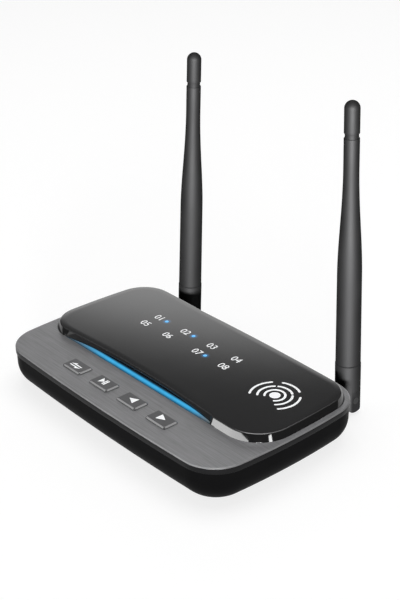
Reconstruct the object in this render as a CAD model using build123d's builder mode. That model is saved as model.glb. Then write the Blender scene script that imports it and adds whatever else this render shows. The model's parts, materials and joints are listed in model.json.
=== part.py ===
"""Bluetooth audio receiver: a flat desktop housing with two hinged antennas.

Millimetres, +Z up. The origin is the middle of the housing's plan, on the surface that it stands on.
+X runs along the row of buttons, -Y faces the user and +Y is the back with the sockets and antennas.
A setback is a distance inwards from the housing's end, front or rear line.
"""
import os
from math import asin, cos, radians, sin, tan

from build123d import *

os.makedirs("parts", exist_ok=True)

# ---- housing plan: four gently bowed sides with round corners ----
body_width = 118.0
body_depth = 69.4
corner_radius = 13.6
side_bow = 0.83
front_bow = 0.91

# ---- housing section ----
deck_thickness = 1.5
deck_side_height = 2.4
deck_skirt_wall = 1.4
deck_edge_chamfer = 0.35
shell_inset = 0.3
shell_wall = 2.0
shell_floor = 1.6
shell_base_radius = 8.95
lip_clearance = 0.1
label_recess_length = 56.0
label_recess_width = 26.0
label_recess_depth = 0.3
label_recess_corner = 2.7

# ---- rubber base ring, pressed into a groove under the floor ----
base_proud = 0.6
base_groove_depth = 0.8
base_ring_width = 4.0
base_ring_corner = 9.0
base_ring_chamfer = 0.3
base_ring_end_setback = 16.0
base_ring_side_setback = 7.7

# ---- display panel, light bar and indicators ----
panel_margin = 1.9
panel_front_setback = 19.6
panel_front_corner = 14.0
panel_rise = 2.55
panel_bevel = 1.15
panel_roof = 1.5
panel_side_wall = 3.2
panel_clearance = 0.1
pocket_depth = 0.8
panel_pin_radius = 1.0
panel_pin_length = 1.6
panel_pin_end_setback = 9.0
panel_pin_front_margin = 6.6
panel_pin_rear_setback = 9.2
light_bar_end_setback = 15.0
light_bar_depth = 2.5
light_bar_rise = 1.1
light_bar_rib = 1.4
light_bar_rib_margin = 3.0
light_bar_rib_step = 0.5
indicator_row_setbacks = (24.1, 17.8)
indicator_columns = ((-25.4, -12.4, 3.7, 18.3), (-25.4, -10.0, 4.6, 18.3))
light_guide_radius = 0.8
light_guide_cover = 0.6
guide_frame_wall = 1.5
guide_frame_flange = 1.2
guide_frame_depth = 6.0
guide_clearance = 0.1
coil_end_setback = 19.2
coil_rear_setback = 24.5
coil_outer_radius = 11.0
coil_inner_radius = 6.5
coil_height = 0.4
ferrite_margin = 1.0
ferrite_corner = 2.0
ferrite_height = 0.25

# ---- buttons ----
button_pitch = 15.67
button_row_setback = 9.4
button_length = 9.87
button_width = 5.89
button_corner = 0.9
button_proud = 0.7
button_bevel = 0.6
button_gap = 0.2
button_flange = 0.9
button_flange_height = 0.8
button_travel = 0.4
button_stem_radius = 1.6
switch_size = 6.0
switch_height = 3.4
switch_plunger_radius = 1.7
switch_plunger_height = 2.0
switch_plunger_sunk = 0.7
switch_bore_gap = 0.2

# ---- main board ----
board_standoff = 1.2
board_thickness = 1.0
board_end_setback = 15.5
board_front_setback = 6.2
board_shoulder_setback = 12.2
board_rear_setback = 5.6
board_boss_gap = 1.0
board_corner = 1.5
module_length = 20.0
module_width = 16.0
module_thickness = 0.8
shield_inset = 2.0
shield_height = 1.8
shield_sheet = 0.3
chip_size = 7.0
chip_height = 1.0
chip_x = 24.0
chip_offset = 4.0
capacitor_radius = 2.5
capacitor_height = 5.4
capacitor_end_margin = 12.0
capacitor_front_margin = 9.3
crystal_length = 5.0
crystal_width = 3.2
crystal_height = 1.2
crystal_corner = 0.8
crystal_front_margin = 10.5
led_length = 1.6
led_width = 0.8
led_height = 0.7
strip_led_pitch = 14.0
strip_led_count = 6
strip_led_length = 3.0
strip_led_width = 1.4
led_air_gap = 0.9

# ---- screws ----
case_screw_end_setback = 11.0
case_screw_side_setback = 15.2
case_screw_radius = 1.25
case_screw_bite = 0.1
case_screw_engagement = 3.6
case_screw_head_radius = 2.4
case_screw_head_height = 1.6
case_screw_head_depth = 3.4
case_boss_radius = 3.9
case_post_radius = 2.8
case_post_length = 4.6
board_screw_radius = 1.0
board_screw_bite = 0.1
board_screw_head_radius = 1.9
board_screw_head_height = 1.2
board_screw_reach = 2.6
board_screw_hole_gap = 0.15
board_boss_radius = 2.5
board_front_screw_end_margin = 7.5
board_front_screw_margin = 3.0
board_rear_screw_x = (28.0, -31.5)
board_rear_screw_margin = 9.0
screw_gap = 0.25
drive_slot_width = 0.8
drive_slot_depth = 0.7

# ---- rear sockets ----
optical_x = (-20.0, -7.0)
optical_body_width = 9.7
optical_body_height = 9.4
optical_body_length = 9.8
optical_headroom = 0.2
optical_nose_width = 9.2
optical_nose_height = 8.9
optical_nose_length = 3.9
optical_nose_drop = 0.35
optical_mouth_width = 7.9
optical_mouth_height = 7.7
optical_mouth_lift = 0.2
optical_mouth_depth = 8.5
optical_ferrule_radius = 1.3
optical_ferrule_depth = 4.4
shutter_thickness = 0.7
shutter_gap = 0.12
shutter_setback = 1.1
shutter_pin_radius = 0.4
shutter_pin_clearance = 0.05
shutter_pin_reach = 0.3
jack_x = (5.0, 14.5)
jack_body_width = 7.0
jack_body_height = 6.4
jack_body_length = 10.4
jack_nose_radius = 3.0
jack_nose_length = 4.4
jack_nose_proud = 0.6
jack_bore_radius = 1.8
jack_bore_depth = 13.8
power_x = 25.5
power_width = 7.6
power_height = 2.6
power_length = 6.7
power_chamfer = 0.65
power_sheet = 0.3
power_setback = 0.4
power_tongue_width = 4.6
power_tongue_height = 0.7
power_tongue_length = 4.6
port_clearance = 0.15

# ---- antennas ----
antenna_end_setback = 16.0
antenna_tip_shift = {"left": 6.3873, "right": -3.0072}
swivel_boss_radius = 4.75
swivel_boss_proud = 1.7
swivel_boss_length = 9.8
swivel_shaft_radius = 2.5
swivel_clearance = 0.05
swivel_face_gap = 0.15
swivel_flange_radius = 4.3
swivel_flange_thickness = 1.05
swivel_shaft_tail = 1.6
swivel_lead_bore_radius = 1.2
tongue_half_thickness = 1.6
tongue_inset = 0.6
clip_radius = 3.1
clip_thickness = 0.6
clip_groove_depth = 0.5
clip_gap = 0.3
clip_floor_gap = 0.2
hinge_pin_radius = 1.25
hinge_pin_clearance = 0.05
knuckle_radius = 4.5
knuckle_length = 14.0
knuckle_cheek_inset = 0.5
knuckle_cheek_height = 4.0
knuckle_flange_gap = 0.5
knuckle_slot_gap = 0.15
knuckle_hub_gap = 0.2
knuckle_seam_chamfer = 0.2
fork_slot_rise = 1.1
spigot_radius = 3.0
spigot_height = 3.0
sleeve_seam_step = 0.12
sleeve_waist_radius = 4.2
sleeve_waist_height = 46.5
sleeve_neck_radius = 2.62
sleeve_taper_length = 39.5
sleeve_waist_pull = 13.2
sleeve_neck_pull = 15.8
sleeve_neck_length = 9.3
sleeve_bore_radius = 1.9
tip_radius = 2.6
tip_neck_radius = 2.3
tip_neck_height = 1.6
tip_plug_length = 4.0
tip_length = 12.4
radiator_radius = 0.6
radiator_sleeve_radius = 1.4
radiator_sleeve_length = 28.0
radiator_headroom = 1.0

# ---- antenna leads inside the housing ----
lead_radius = 0.565
lead_plug_x = 15.0
lead_plug_offset = 1.5
lead_turn_margin = 12.0
lead_straight_length = 16.6
lead_plug_radius = 1.1
lead_plug_height = 1.7
lead_bend_share = 0.45

# ---- levels that follow from those sizes ----
floor_top = base_proud + shell_floor
board_bottom = floor_top + board_standoff
board_top = board_bottom + board_thickness
deck_underside = board_top + optical_body_height + optical_headroom
housing_height = deck_underside + deck_thickness
shell_rim = housing_height - deck_side_height
lip_top = deck_underside - lip_clearance
pocket_floor = housing_height - pocket_depth
panel_top = housing_height + panel_rise
panel_ceiling = panel_top - panel_roof
led_top = board_top + led_height
guide_bottom = led_top + led_air_gap
button_top = housing_height + button_proud
button_flange_top = deck_underside - button_gap
button_base = button_flange_top - button_flange_height
switch_top = board_top + switch_height
plunger_bottom = switch_top - switch_plunger_sunk
plunger_top = plunger_bottom + switch_plunger_height
case_boss_top = deck_underside - case_post_length
case_screw_seat = base_proud + case_screw_head_depth
case_screw_tip = case_boss_top + case_screw_engagement
jack_axis_height = board_top + jack_body_height / 2
optical_nose_bottom = board_top - optical_nose_drop
optical_mouth_bottom = board_top + optical_mouth_lift
optical_mouth_middle = optical_mouth_bottom + optical_mouth_height / 2
shutter_axis_height = optical_mouth_bottom + optical_mouth_height - shutter_gap - shutter_thickness / 2
hinge_height = floor_top + clip_radius + clip_floor_gap
sleeve_neck_height = sleeve_waist_height + sleeve_taper_length
sleeve_top_height = sleeve_neck_height + sleeve_neck_length
antenna_reach = sleeve_top_height + tip_length

# ---- places in plan that follow from those sizes ----
end_line = body_width / 2
rear_line = body_depth / 2
lip_inset = deck_skirt_wall + lip_clearance
cavity_inset = shell_inset + shell_wall
panel_front_y = panel_front_setback - rear_line
panel_pin_points = [
    (side * (end_line - panel_pin_end_setback), y)
    for side in (-1, 1)
    for y in (panel_front_y + panel_pin_front_margin, rear_line - panel_pin_rear_setback)
]
light_bar_half_length = end_line - light_bar_end_setback
light_bar_radius = (light_bar_half_length**2 + light_bar_depth**2) / (2 * light_bar_depth)
light_bar_rib_half_length = light_bar_half_length - light_bar_rib_margin
rib_middle_y = panel_front_y + light_bar_rib_step + light_bar_rib / 2
indicator_rows = [rear_line - setback for setback in indicator_row_setbacks]
indicator_points = [(x, y) for y, row in zip(indicator_rows, indicator_columns) for x in row]
coil_x = end_line - coil_end_setback
coil_y = rear_line - coil_rear_setback
ferrite_size = 2 * (coil_outer_radius + ferrite_margin)
button_names = ["mode", "play", "previous", "next"]
button_row_y = button_row_setback - rear_line
button_points = [((i - 1.5) * button_pitch, button_row_y) for i in range(len(button_names))]
case_screw_x = end_line - case_screw_end_setback
case_screw_y = rear_line - case_screw_side_setback
optical_nose_rear_y = rear_line
optical_body_rear_y = optical_nose_rear_y - optical_nose_length
optical_body_front_y = optical_body_rear_y - optical_body_length
mouth_floor_y = optical_nose_rear_y - optical_mouth_depth
shutter_axis_y = optical_nose_rear_y - shutter_setback
jack_nose_rear_y = rear_line + jack_nose_proud
jack_body_rear_y = jack_nose_rear_y - jack_nose_length
power_rear_y = rear_line - power_setback
power_front_y = power_rear_y - power_length
antenna_x = end_line - antenna_end_setback
swivel_boss_face_y = rear_line + swivel_boss_proud
swivel_boss_inner_y = swivel_boss_face_y - swivel_boss_length
tongue_root_y = swivel_boss_face_y + swivel_face_gap
flange_rear_y = tongue_root_y + swivel_flange_thickness
hinge_y = flange_rear_y + knuckle_flange_gap + knuckle_radius
clip_front_y = swivel_boss_inner_y - clip_gap - clip_thickness
shaft_end_y = clip_front_y - swivel_shaft_tail
tongue_radius = knuckle_radius - tongue_inset
knuckle_cheek = knuckle_radius - knuckle_cheek_inset
knuckle_cutter = 3 * knuckle_radius
sleeve_base_radius = knuckle_radius - sleeve_seam_step
board_half_length = end_line - board_end_setback
board_front_y = board_front_setback - rear_line
board_shoulder_y = rear_line - board_shoulder_setback
board_rear_y = rear_line - board_rear_setback
board_tab_half_length = antenna_x - swivel_boss_radius - board_boss_gap
board_front_screw_x = board_half_length - board_front_screw_end_margin
board_screw_points = [
    (side * board_front_screw_x, board_front_y + board_front_screw_margin) for side in (-1, 1)
] + [(x, board_shoulder_y - board_rear_screw_margin) for x in board_rear_screw_x]
module_y = (rib_middle_y + indicator_rows[0]) / 2
chip_y = module_y - chip_offset
capacitor_x = board_half_length - capacitor_end_margin
capacitor_y = board_front_y + capacitor_front_margin
crystal_y = board_front_y + crystal_front_margin
lead_plug_y = module_y + lead_plug_offset
lead_turn_x = antenna_x - lead_turn_margin
lead_turn_y = swivel_boss_inner_y - lead_straight_length
sides = {"left": -1, "right": 1}


def save(builder, name):
    """Label a finished piece and write its STEP file."""
    builder.part.label = name
    export_step(builder.part, f"parts/{name}.step")


def housing_outline(inset):
    """Plan of the housing moved inwards by inset: a bowed rectangle grown by the corner radius."""
    half_x = body_width / 2 - corner_radius
    half_y = body_depth / 2 - corner_radius
    with BuildSketch() as outline:
        with BuildLine():
            ThreePointArc((-half_x, -half_y), (0, -half_y - front_bow), (half_x, -half_y))
            ThreePointArc((half_x, -half_y), (half_x + side_bow, 0), (half_x, half_y))
            ThreePointArc((half_x, half_y), (0, half_y + front_bow), (-half_x, half_y))
            ThreePointArc((-half_x, half_y), (-half_x - side_bow, 0), (-half_x, -half_y))
        make_face()
        offset(amount=corner_radius - inset, kind=Kind.ARC)
    return outline.sketch


def panel_outline(inset):
    """Plan of the display panel moved inwards by inset: the housing plan cut straight at the front."""
    with BuildSketch() as outline:
        add(housing_outline(panel_margin + inset))
        with Locations((0, panel_front_y + inset)):
            Rectangle(2 * body_width, body_depth, align=(Align.CENTER, Align.MIN), mode=Mode.INTERSECT)
        fillet(outline.vertices().group_by(Axis.Y)[0], radius=panel_front_corner - inset)
    return outline.sketch


def base_ring_outline():
    """Plan of the rubber ring that the housing stands on: a rounded rectangle less its inner window."""
    ring_length = 2 * (end_line - base_ring_end_setback)
    ring_width = 2 * (rear_line - base_ring_side_setback)
    with BuildSketch() as outline:
        RectangleRounded(ring_length, ring_width, base_ring_corner)
        offset(amount=-base_ring_width, kind=Kind.ARC, mode=Mode.SUBTRACT)
    return outline.sketch


def light_bar_outline(grow):
    """Plan of the light bar: the thin crescent between the panel's straight front and a shallow arc."""
    with BuildSketch() as outline:
        with Locations((0, panel_front_y + light_bar_depth - light_bar_radius)):
            Circle(light_bar_radius + grow)
        with Locations((0, panel_front_y)):
            Rectangle(
                2 * light_bar_radius,
                2 * light_bar_radius,
                align=(Align.CENTER, Align.MIN),
                mode=Mode.INTERSECT,
            )
    return outline.sketch


# ==== housing ====

with BuildPart() as shell_cavity:
    with BuildSketch(Plane.XY.offset(shell_wall)):
        add(housing_outline(cavity_inset))
    extrude(amount=housing_height)
    fillet(shell_cavity.faces().sort_by(Axis.Z)[0].edges(), radius=shell_base_radius - shell_wall)
    split(bisect_by=Plane.XY.offset(floor_top), keep=Keep.TOP)

with BuildPart() as lower_shell:
    with BuildSketch():
        add(housing_outline(shell_inset))
    extrude(amount=shell_rim)
    fillet(lower_shell.faces().sort_by(Axis.Z)[0].edges(), radius=shell_base_radius)
    split(bisect_by=Plane.XY.offset(base_proud), keep=Keep.TOP)
    # the lip that the deck's skirt drops over, standing on the wall above the base round
    with BuildSketch(Plane.XY.offset(shell_base_radius)):
        add(housing_outline(lip_inset))
    extrude(amount=lip_top - shell_base_radius)
    add(shell_cavity.part, mode=Mode.SUBTRACT)
    # bosses for the case screws, the board and the antenna swivels
    with BuildSketch(Plane.XY.offset(base_proud)):
        with GridLocations(2 * case_screw_x, 2 * case_screw_y, 2, 2):
            Circle(case_boss_radius)
    extrude(amount=case_boss_top - base_proud)
    with BuildSketch(Plane.XY.offset(base_proud)):
        with Locations(*board_screw_points):
            Circle(board_boss_radius)
    extrude(amount=board_bottom - base_proud)
    with BuildSketch(Plane.XZ.offset(-swivel_boss_inner_y)):
        with Locations((-antenna_x, hinge_height), (antenna_x, hinge_height)):
            Circle(swivel_boss_radius)
    extrude(amount=swivel_boss_inner_y - swivel_boss_face_y)
    # holes for the screws and swivels
    with BuildSketch(Plane.XY.offset(base_proud)):
        with GridLocations(2 * case_screw_x, 2 * case_screw_y, 2, 2):
            Circle(case_screw_head_radius + screw_gap)
    extrude(amount=case_screw_head_depth, mode=Mode.SUBTRACT)
    with BuildSketch(Plane.XY.offset(base_proud)):
        with GridLocations(2 * case_screw_x, 2 * case_screw_y, 2, 2):
            Circle(case_screw_radius + screw_gap)
    extrude(amount=case_boss_top - base_proud, mode=Mode.SUBTRACT)
    with BuildSketch(Plane.XY.offset(board_bottom)):
        with Locations(*board_screw_points):
            Circle(board_screw_radius - board_screw_bite)
    extrude(amount=-board_screw_reach + board_thickness, mode=Mode.SUBTRACT)
    with BuildSketch(Plane.XZ.offset(-swivel_boss_inner_y)):
        with Locations((-antenna_x, hinge_height), (antenna_x, hinge_height)):
            Circle(swivel_shaft_radius + swivel_clearance)
    extrude(amount=swivel_boss_inner_y - swivel_boss_face_y, mode=Mode.SUBTRACT)
    # notches for the optical sockets, closed above by the deck's skirt
    with BuildSketch(Plane.XZ.offset(-optical_body_rear_y)):
        for x in optical_x:
            with Locations((x, optical_nose_bottom - port_clearance)):
                Rectangle(
                    optical_nose_width + 2 * port_clearance,
                    housing_height - optical_nose_bottom,
                    align=(Align.CENTER, Align.MIN),
                )
    extrude(amount=optical_body_rear_y - body_depth, mode=Mode.SUBTRACT)
    with BuildSketch(Plane.XZ.offset(-jack_body_rear_y)):
        for x in jack_x:
            with Locations((x, jack_axis_height)):
                Circle(jack_nose_radius + port_clearance)
    extrude(amount=jack_body_rear_y - body_depth, mode=Mode.SUBTRACT)
    with BuildSketch(Plane.XZ.offset(-board_rear_y)):
        with Locations((power_x, board_top + power_height / 2)):
            RectangleRounded(
                power_width + 2 * port_clearance, power_height + 2 * port_clearance, 2 * port_clearance
            )
    extrude(amount=board_rear_y - body_depth, mode=Mode.SUBTRACT)
    # groove under the floor for the rubber ring, and a bare label field
    with BuildSketch(Plane.XY.offset(base_proud)):
        add(base_ring_outline())
    extrude(amount=base_groove_depth, mode=Mode.SUBTRACT)
    with BuildSketch(Plane.XY.offset(base_proud)):
        RectangleRounded(label_recess_length, label_recess_width, label_recess_corner)
    extrude(amount=label_recess_depth, mode=Mode.SUBTRACT)
save(lower_shell, "lower_shell")

guide_window_left = min(x for x, y in indicator_points) - light_guide_radius - guide_frame_wall
guide_window_right = max(x for x, y in indicator_points) + light_guide_radius + guide_frame_wall
guide_window_front = min(indicator_rows) - light_guide_radius - guide_frame_wall
guide_window_rear = max(indicator_rows) + light_guide_radius + guide_frame_wall
guide_window_length = guide_window_right - guide_window_left
guide_window_width = guide_window_rear - guide_window_front
guide_window_middle = (
    (guide_window_left + guide_window_right) / 2,
    (guide_window_front + guide_window_rear) / 2,
)

with BuildPart() as top_deck:
    with BuildSketch(Plane.XY.offset(shell_rim)):
        add(housing_outline(0))
    extrude(amount=deck_side_height)
    chamfer(top_deck.faces().sort_by(Axis.Z)[-1].edges(), length=deck_edge_chamfer)
    with BuildSketch(Plane.XY.offset(shell_rim)):
        add(housing_outline(deck_skirt_wall))
    extrude(amount=deck_underside - shell_rim, mode=Mode.SUBTRACT)
    # shallow pocket that the panel and the light bar sit in
    with BuildSketch(Plane.XY.offset(pocket_floor)):
        add(panel_outline(-panel_clearance))
    extrude(amount=pocket_depth, mode=Mode.SUBTRACT)
    # openings through the pocket's floor and the plate
    with BuildSketch(Plane.XY.offset(deck_underside)):
        with Locations(guide_window_middle):
            Rectangle(guide_window_length + 2 * guide_clearance, guide_window_width + 2 * guide_clearance)
        with Locations((0, rib_middle_y)):
            Rectangle(
                2 * (light_bar_rib_half_length + guide_clearance), light_bar_rib + 2 * guide_clearance
            )
        with Locations(*panel_pin_points):
            Circle(panel_pin_radius + panel_clearance)
        with Locations(*button_points):
            RectangleRounded(
                button_length + 2 * button_gap, button_width + 2 * button_gap, button_corner + button_gap
            )
    extrude(amount=deck_thickness, mode=Mode.SUBTRACT)
    # posts that the case screws bite into
    with BuildSketch(Plane.XY.offset(case_boss_top)):
        with GridLocations(2 * case_screw_x, 2 * case_screw_y, 2, 2):
            Circle(case_post_radius)
    extrude(amount=deck_underside - case_boss_top)
    with BuildSketch(Plane.XY.offset(case_boss_top)):
        with GridLocations(2 * case_screw_x, 2 * case_screw_y, 2, 2):
            Circle(case_screw_radius - case_screw_bite)
    extrude(amount=case_screw_engagement + screw_gap, mode=Mode.SUBTRACT)
save(top_deck, "top_deck")

with BuildPart() as display_panel:
    with BuildSketch(Plane.XY.offset(pocket_floor)):
        add(panel_outline(0))
    extrude(amount=pocket_depth)
    with BuildSketch(Plane.XY.offset(housing_height)):
        add(panel_outline(0))
    with BuildSketch(Plane.XY.offset(panel_top)):
        add(panel_outline(panel_bevel))
    loft(ruled=True)
    with BuildSketch(Plane.XY.offset(pocket_floor)):
        add(light_bar_outline(panel_clearance))
    extrude(amount=pocket_depth + panel_rise, mode=Mode.SUBTRACT)
    # hollow underside, behind the light bar's notch
    with BuildSketch(Plane.XY.offset(pocket_floor)):
        add(panel_outline(panel_side_wall))
        with Locations((0, panel_front_y + light_bar_depth + panel_roof)):
            Rectangle(2 * body_width, body_depth, align=(Align.CENTER, Align.MIN), mode=Mode.INTERSECT)
    extrude(amount=panel_ceiling - pocket_floor, mode=Mode.SUBTRACT)
    # pins that locate it in the deck, and blind wells over the light guides
    with BuildSketch(Plane.XY.offset(deck_underside - panel_pin_length)):
        with Locations(*panel_pin_points):
            Circle(panel_pin_radius)
    extrude(amount=panel_ceiling - deck_underside + panel_pin_length)
    with BuildSketch(Plane.XY.offset(panel_ceiling)):
        with Locations(*indicator_points):
            Circle(light_guide_radius + guide_clearance)
    extrude(amount=panel_roof - light_guide_cover, mode=Mode.SUBTRACT)
save(display_panel, "display_panel")

light_bar_slope = Plane(
    origin=(0, panel_front_y, housing_height), x_dir=(1, 0, 0), z_dir=(0, -light_bar_rise, light_bar_depth)
)
with BuildPart() as light_bar:
    with BuildSketch(Plane.XY.offset(pocket_floor)):
        add(light_bar_outline(0))
    extrude(amount=pocket_depth + light_bar_rise)
    split(bisect_by=light_bar_slope, keep=Keep.BOTTOM)
    with BuildSketch(Plane.XY.offset(pocket_floor)):
        with Locations((0, rib_middle_y)):
            Rectangle(2 * light_bar_rib_half_length, light_bar_rib)
    extrude(amount=guide_bottom - pocket_floor)
save(light_bar, "light_bar")

with BuildPart() as indicator_light_guides:
    with BuildSketch(Plane.XY.offset(guide_bottom)):
        with Locations(*indicator_points):
            Circle(light_guide_radius)
    extrude(amount=panel_top - light_guide_cover - guide_clearance - guide_bottom)
save(indicator_light_guides, "indicator_light_guides")

with BuildPart() as light_guide_frame:
    with BuildSketch(Plane.XY.offset(pocket_floor - guide_frame_depth)):
        with Locations(guide_window_middle):
            Rectangle(guide_window_length, guide_window_width)
    extrude(amount=guide_frame_depth)
    with BuildSketch(Plane.XY.offset(pocket_floor)):
        with Locations(guide_window_middle):
            Rectangle(
                guide_window_length + 2 * guide_frame_flange, guide_window_width + 2 * guide_frame_flange
            )
    extrude(amount=guide_frame_flange)
    with BuildSketch(Plane.XY.offset(pocket_floor - guide_frame_depth)):
        with Locations(*indicator_points):
            Circle(light_guide_radius)
    extrude(amount=guide_frame_depth + guide_frame_flange, mode=Mode.SUBTRACT)
save(light_guide_frame, "light_guide_frame")

with BuildPart() as coil_ferrite_sheet:
    with BuildSketch(Plane.XY.offset(pocket_floor)):
        with Locations((coil_x, coil_y)):
            RectangleRounded(ferrite_size, ferrite_size, ferrite_corner)
    extrude(amount=ferrite_height)
save(coil_ferrite_sheet, "coil_ferrite_sheet")

with BuildPart() as near_field_coil:
    with BuildSketch(Plane.XY.offset(pocket_floor + ferrite_height)):
        with Locations((coil_x, coil_y)):
            Circle(coil_outer_radius)
            Circle(coil_inner_radius, mode=Mode.SUBTRACT)
    extrude(amount=coil_height)
save(near_field_coil, "near_field_coil")

with BuildPart() as rubber_base_ring:
    with BuildSketch():
        add(base_ring_outline())
    extrude(amount=base_proud + base_groove_depth)
    chamfer(rubber_base_ring.edges().group_by(Axis.Z)[0], length=base_ring_chamfer)
save(rubber_base_ring, "rubber_base_ring")

# ==== buttons and their switches ====

for name, point in zip(button_names, button_points):
    with BuildPart() as button_cap:
        with BuildSketch(Plane.XY.offset(button_flange_top)):
            with Locations(point):
                RectangleRounded(button_length, button_width, button_corner)
        extrude(amount=button_top - button_flange_top)
        chamfer(button_cap.faces().sort_by(Axis.Z)[-1].edges(), length=button_bevel)
        with BuildSketch(Plane.XY.offset(button_base)):
            with Locations(point):
                RectangleRounded(
                    button_length + 2 * button_flange, button_width + 2 * button_flange, button_corner
                )
        extrude(amount=button_flange_height)
        with BuildSketch(Plane.XY.offset(plunger_top)):
            with Locations(point):
                Circle(button_stem_radius)
        extrude(amount=button_base - plunger_top)
    save(button_cap, f"{name}_button_cap")

    with BuildPart() as switch_plunger:
        with BuildSketch(Plane.XY.offset(plunger_bottom)):
            with Locations(point):
                Circle(switch_plunger_radius)
        extrude(amount=switch_plunger_height)
    save(switch_plunger, f"{name}_switch_plunger")

with BuildPart() as switch_bodies:
    with BuildSketch(Plane.XY.offset(board_top)):
        with Locations(*button_points):
            Rectangle(switch_size, switch_size)
    extrude(amount=switch_height)
    with BuildSketch(Plane.XY.offset(switch_top)):
        with Locations(*button_points):
            Circle(switch_plunger_radius + switch_bore_gap)
    extrude(amount=-switch_plunger_sunk - button_travel - switch_bore_gap, mode=Mode.SUBTRACT)
save(switch_bodies, "switch_bodies")

# ==== board and what is soldered to it ====

with BuildPart() as main_board:
    with BuildSketch(Plane.XY.offset(board_bottom)) as board_plan:
        with Locations((0, board_front_y)):
            Rectangle(
                2 * board_half_length, board_shoulder_y - board_front_y, align=(Align.CENTER, Align.MIN)
            )
            Rectangle(
                2 * board_tab_half_length, board_rear_y - board_front_y, align=(Align.CENTER, Align.MIN)
            )
        fillet(board_plan.vertices(), radius=board_corner)
        with Locations(*board_screw_points):
            Circle(board_screw_radius + board_screw_hole_gap, mode=Mode.SUBTRACT)
    extrude(amount=board_thickness)
save(main_board, "main_board")

with BuildPart() as radio_module_board:
    with BuildSketch(Plane.XY.offset(board_top)):
        with Locations((0, module_y)):
            Rectangle(module_length, module_width)
    extrude(amount=module_thickness)
save(radio_module_board, "radio_module_board")

with BuildPart() as radio_shield_can:
    with BuildSketch(Plane.XY.offset(board_top + module_thickness)):
        with Locations((0, module_y)):
            Rectangle(module_length - 2 * shield_inset, module_width - 2 * shield_inset)
    extrude(amount=shield_height)
    can_wall = shield_inset + shield_sheet
    with BuildSketch(Plane.XY.offset(board_top + module_thickness)):
        with Locations((0, module_y)):
            Rectangle(module_length - 2 * can_wall, module_width - 2 * can_wall)
    extrude(amount=shield_height - shield_sheet, mode=Mode.SUBTRACT)
save(radio_shield_can, "radio_shield_can")

with BuildPart() as audio_chips:
    with BuildSketch(Plane.XY.offset(board_top)):
        with Locations((-chip_x, chip_y), (chip_x, chip_y)):
            Rectangle(chip_size, chip_size)
    extrude(amount=chip_height)
save(audio_chips, "audio_chips")

with BuildPart() as filter_capacitors:
    with BuildSketch(Plane.XY.offset(board_top)):
        with Locations((-capacitor_x, capacitor_y), (capacitor_x, capacitor_y)):
            Circle(capacitor_radius)
    extrude(amount=capacitor_height)
save(filter_capacitors, "filter_capacitors")

with BuildPart() as crystal_can:
    with BuildSketch(Plane.XY.offset(board_top)):
        with Locations((0, crystal_y)):
            RectangleRounded(crystal_length, crystal_width, crystal_corner)
    extrude(amount=crystal_height)
save(crystal_can, "crystal_can")

with BuildPart() as indicator_leds:
    with BuildSketch(Plane.XY.offset(board_top)):
        with Locations(*indicator_points):
            Rectangle(led_length, led_width)
    extrude(amount=led_height)
save(indicator_leds, "indicator_leds")

with BuildPart() as strip_leds:
    with BuildSketch(Plane.XY.offset(board_top)):
        with Locations((0, rib_middle_y)):
            with GridLocations(strip_led_pitch, 0, strip_led_count, 1):
                Rectangle(strip_led_length, strip_led_width)
    extrude(amount=led_height)
save(strip_leds, "strip_leds")

# ==== rear sockets ====

for name, x in zip(("optical_input", "optical_output"), optical_x):
    with BuildPart() as optical_socket:
        with BuildSketch(Plane.XZ.offset(-optical_body_front_y)):
            with Locations((x, board_top)):
                Rectangle(optical_body_width, optical_body_height, align=(Align.CENTER, Align.MIN))
        extrude(amount=optical_body_front_y - optical_body_rear_y)
        with BuildSketch(Plane.XZ.offset(-optical_body_rear_y)):
            with Locations((x, optical_nose_bottom)):
                Rectangle(optical_nose_width, optical_nose_height, align=(Align.CENTER, Align.MIN))
        extrude(amount=optical_body_rear_y - optical_nose_rear_y)
        with BuildSketch(Plane.XZ.offset(-mouth_floor_y)):
            with Locations((x, optical_mouth_bottom)):
                Rectangle(optical_mouth_width, optical_mouth_height, align=(Align.CENTER, Align.MIN))
        extrude(amount=-optical_mouth_depth, mode=Mode.SUBTRACT)
        with BuildSketch(Plane.XZ.offset(-mouth_floor_y)):
            with Locations((x, optical_mouth_middle)):
                Circle(optical_ferrule_radius)
        extrude(amount=optical_ferrule_depth, mode=Mode.SUBTRACT)
        with BuildSketch(Plane.YZ.offset(x)):
            with Locations((shutter_axis_y, shutter_axis_height)):
                Circle(shutter_pin_radius + shutter_pin_clearance)
        pin_well_reach = optical_mouth_width / 2 + shutter_pin_reach + shutter_gap
        extrude(amount=pin_well_reach, both=True, mode=Mode.SUBTRACT)
    save(optical_socket, f"{name}_socket")

    with BuildPart() as optical_shutter:
        with BuildSketch(Plane.YZ.offset(x)):
            with Locations((shutter_axis_y, shutter_axis_height)):
                Circle(shutter_thickness / 2)
                Rectangle(
                    shutter_thickness,
                    shutter_axis_height - optical_mouth_bottom - shutter_gap,
                    align=(Align.CENTER, Align.MAX),
                )
        extrude(amount=optical_mouth_width / 2 - shutter_gap, both=True)
        with BuildSketch(Plane.YZ.offset(x)):
            with Locations((shutter_axis_y, shutter_axis_height)):
                Circle(shutter_pin_radius)
        extrude(amount=optical_mouth_width / 2 + shutter_pin_reach, both=True)
    save(optical_shutter, f"{name}_shutter")

for name, x in zip(("line_in", "line_out"), jack_x):
    with BuildPart() as line_jack:
        with BuildSketch(Plane.XZ.offset(-jack_body_rear_y)):
            with Locations((x, jack_axis_height)):
                Rectangle(jack_body_width, jack_body_height)
        extrude(amount=jack_body_length)
        with BuildSketch(Plane.XZ.offset(-jack_body_rear_y)):
            with Locations((x, jack_axis_height)):
                Circle(jack_nose_radius)
        extrude(amount=-jack_nose_length)
        with BuildSketch(Plane.XZ.offset(-jack_nose_rear_y)):
            with Locations((x, jack_axis_height)):
                Circle(jack_bore_radius)
        extrude(amount=jack_bore_depth, mode=Mode.SUBTRACT)
    save(line_jack, f"{name}_jack")

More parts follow.
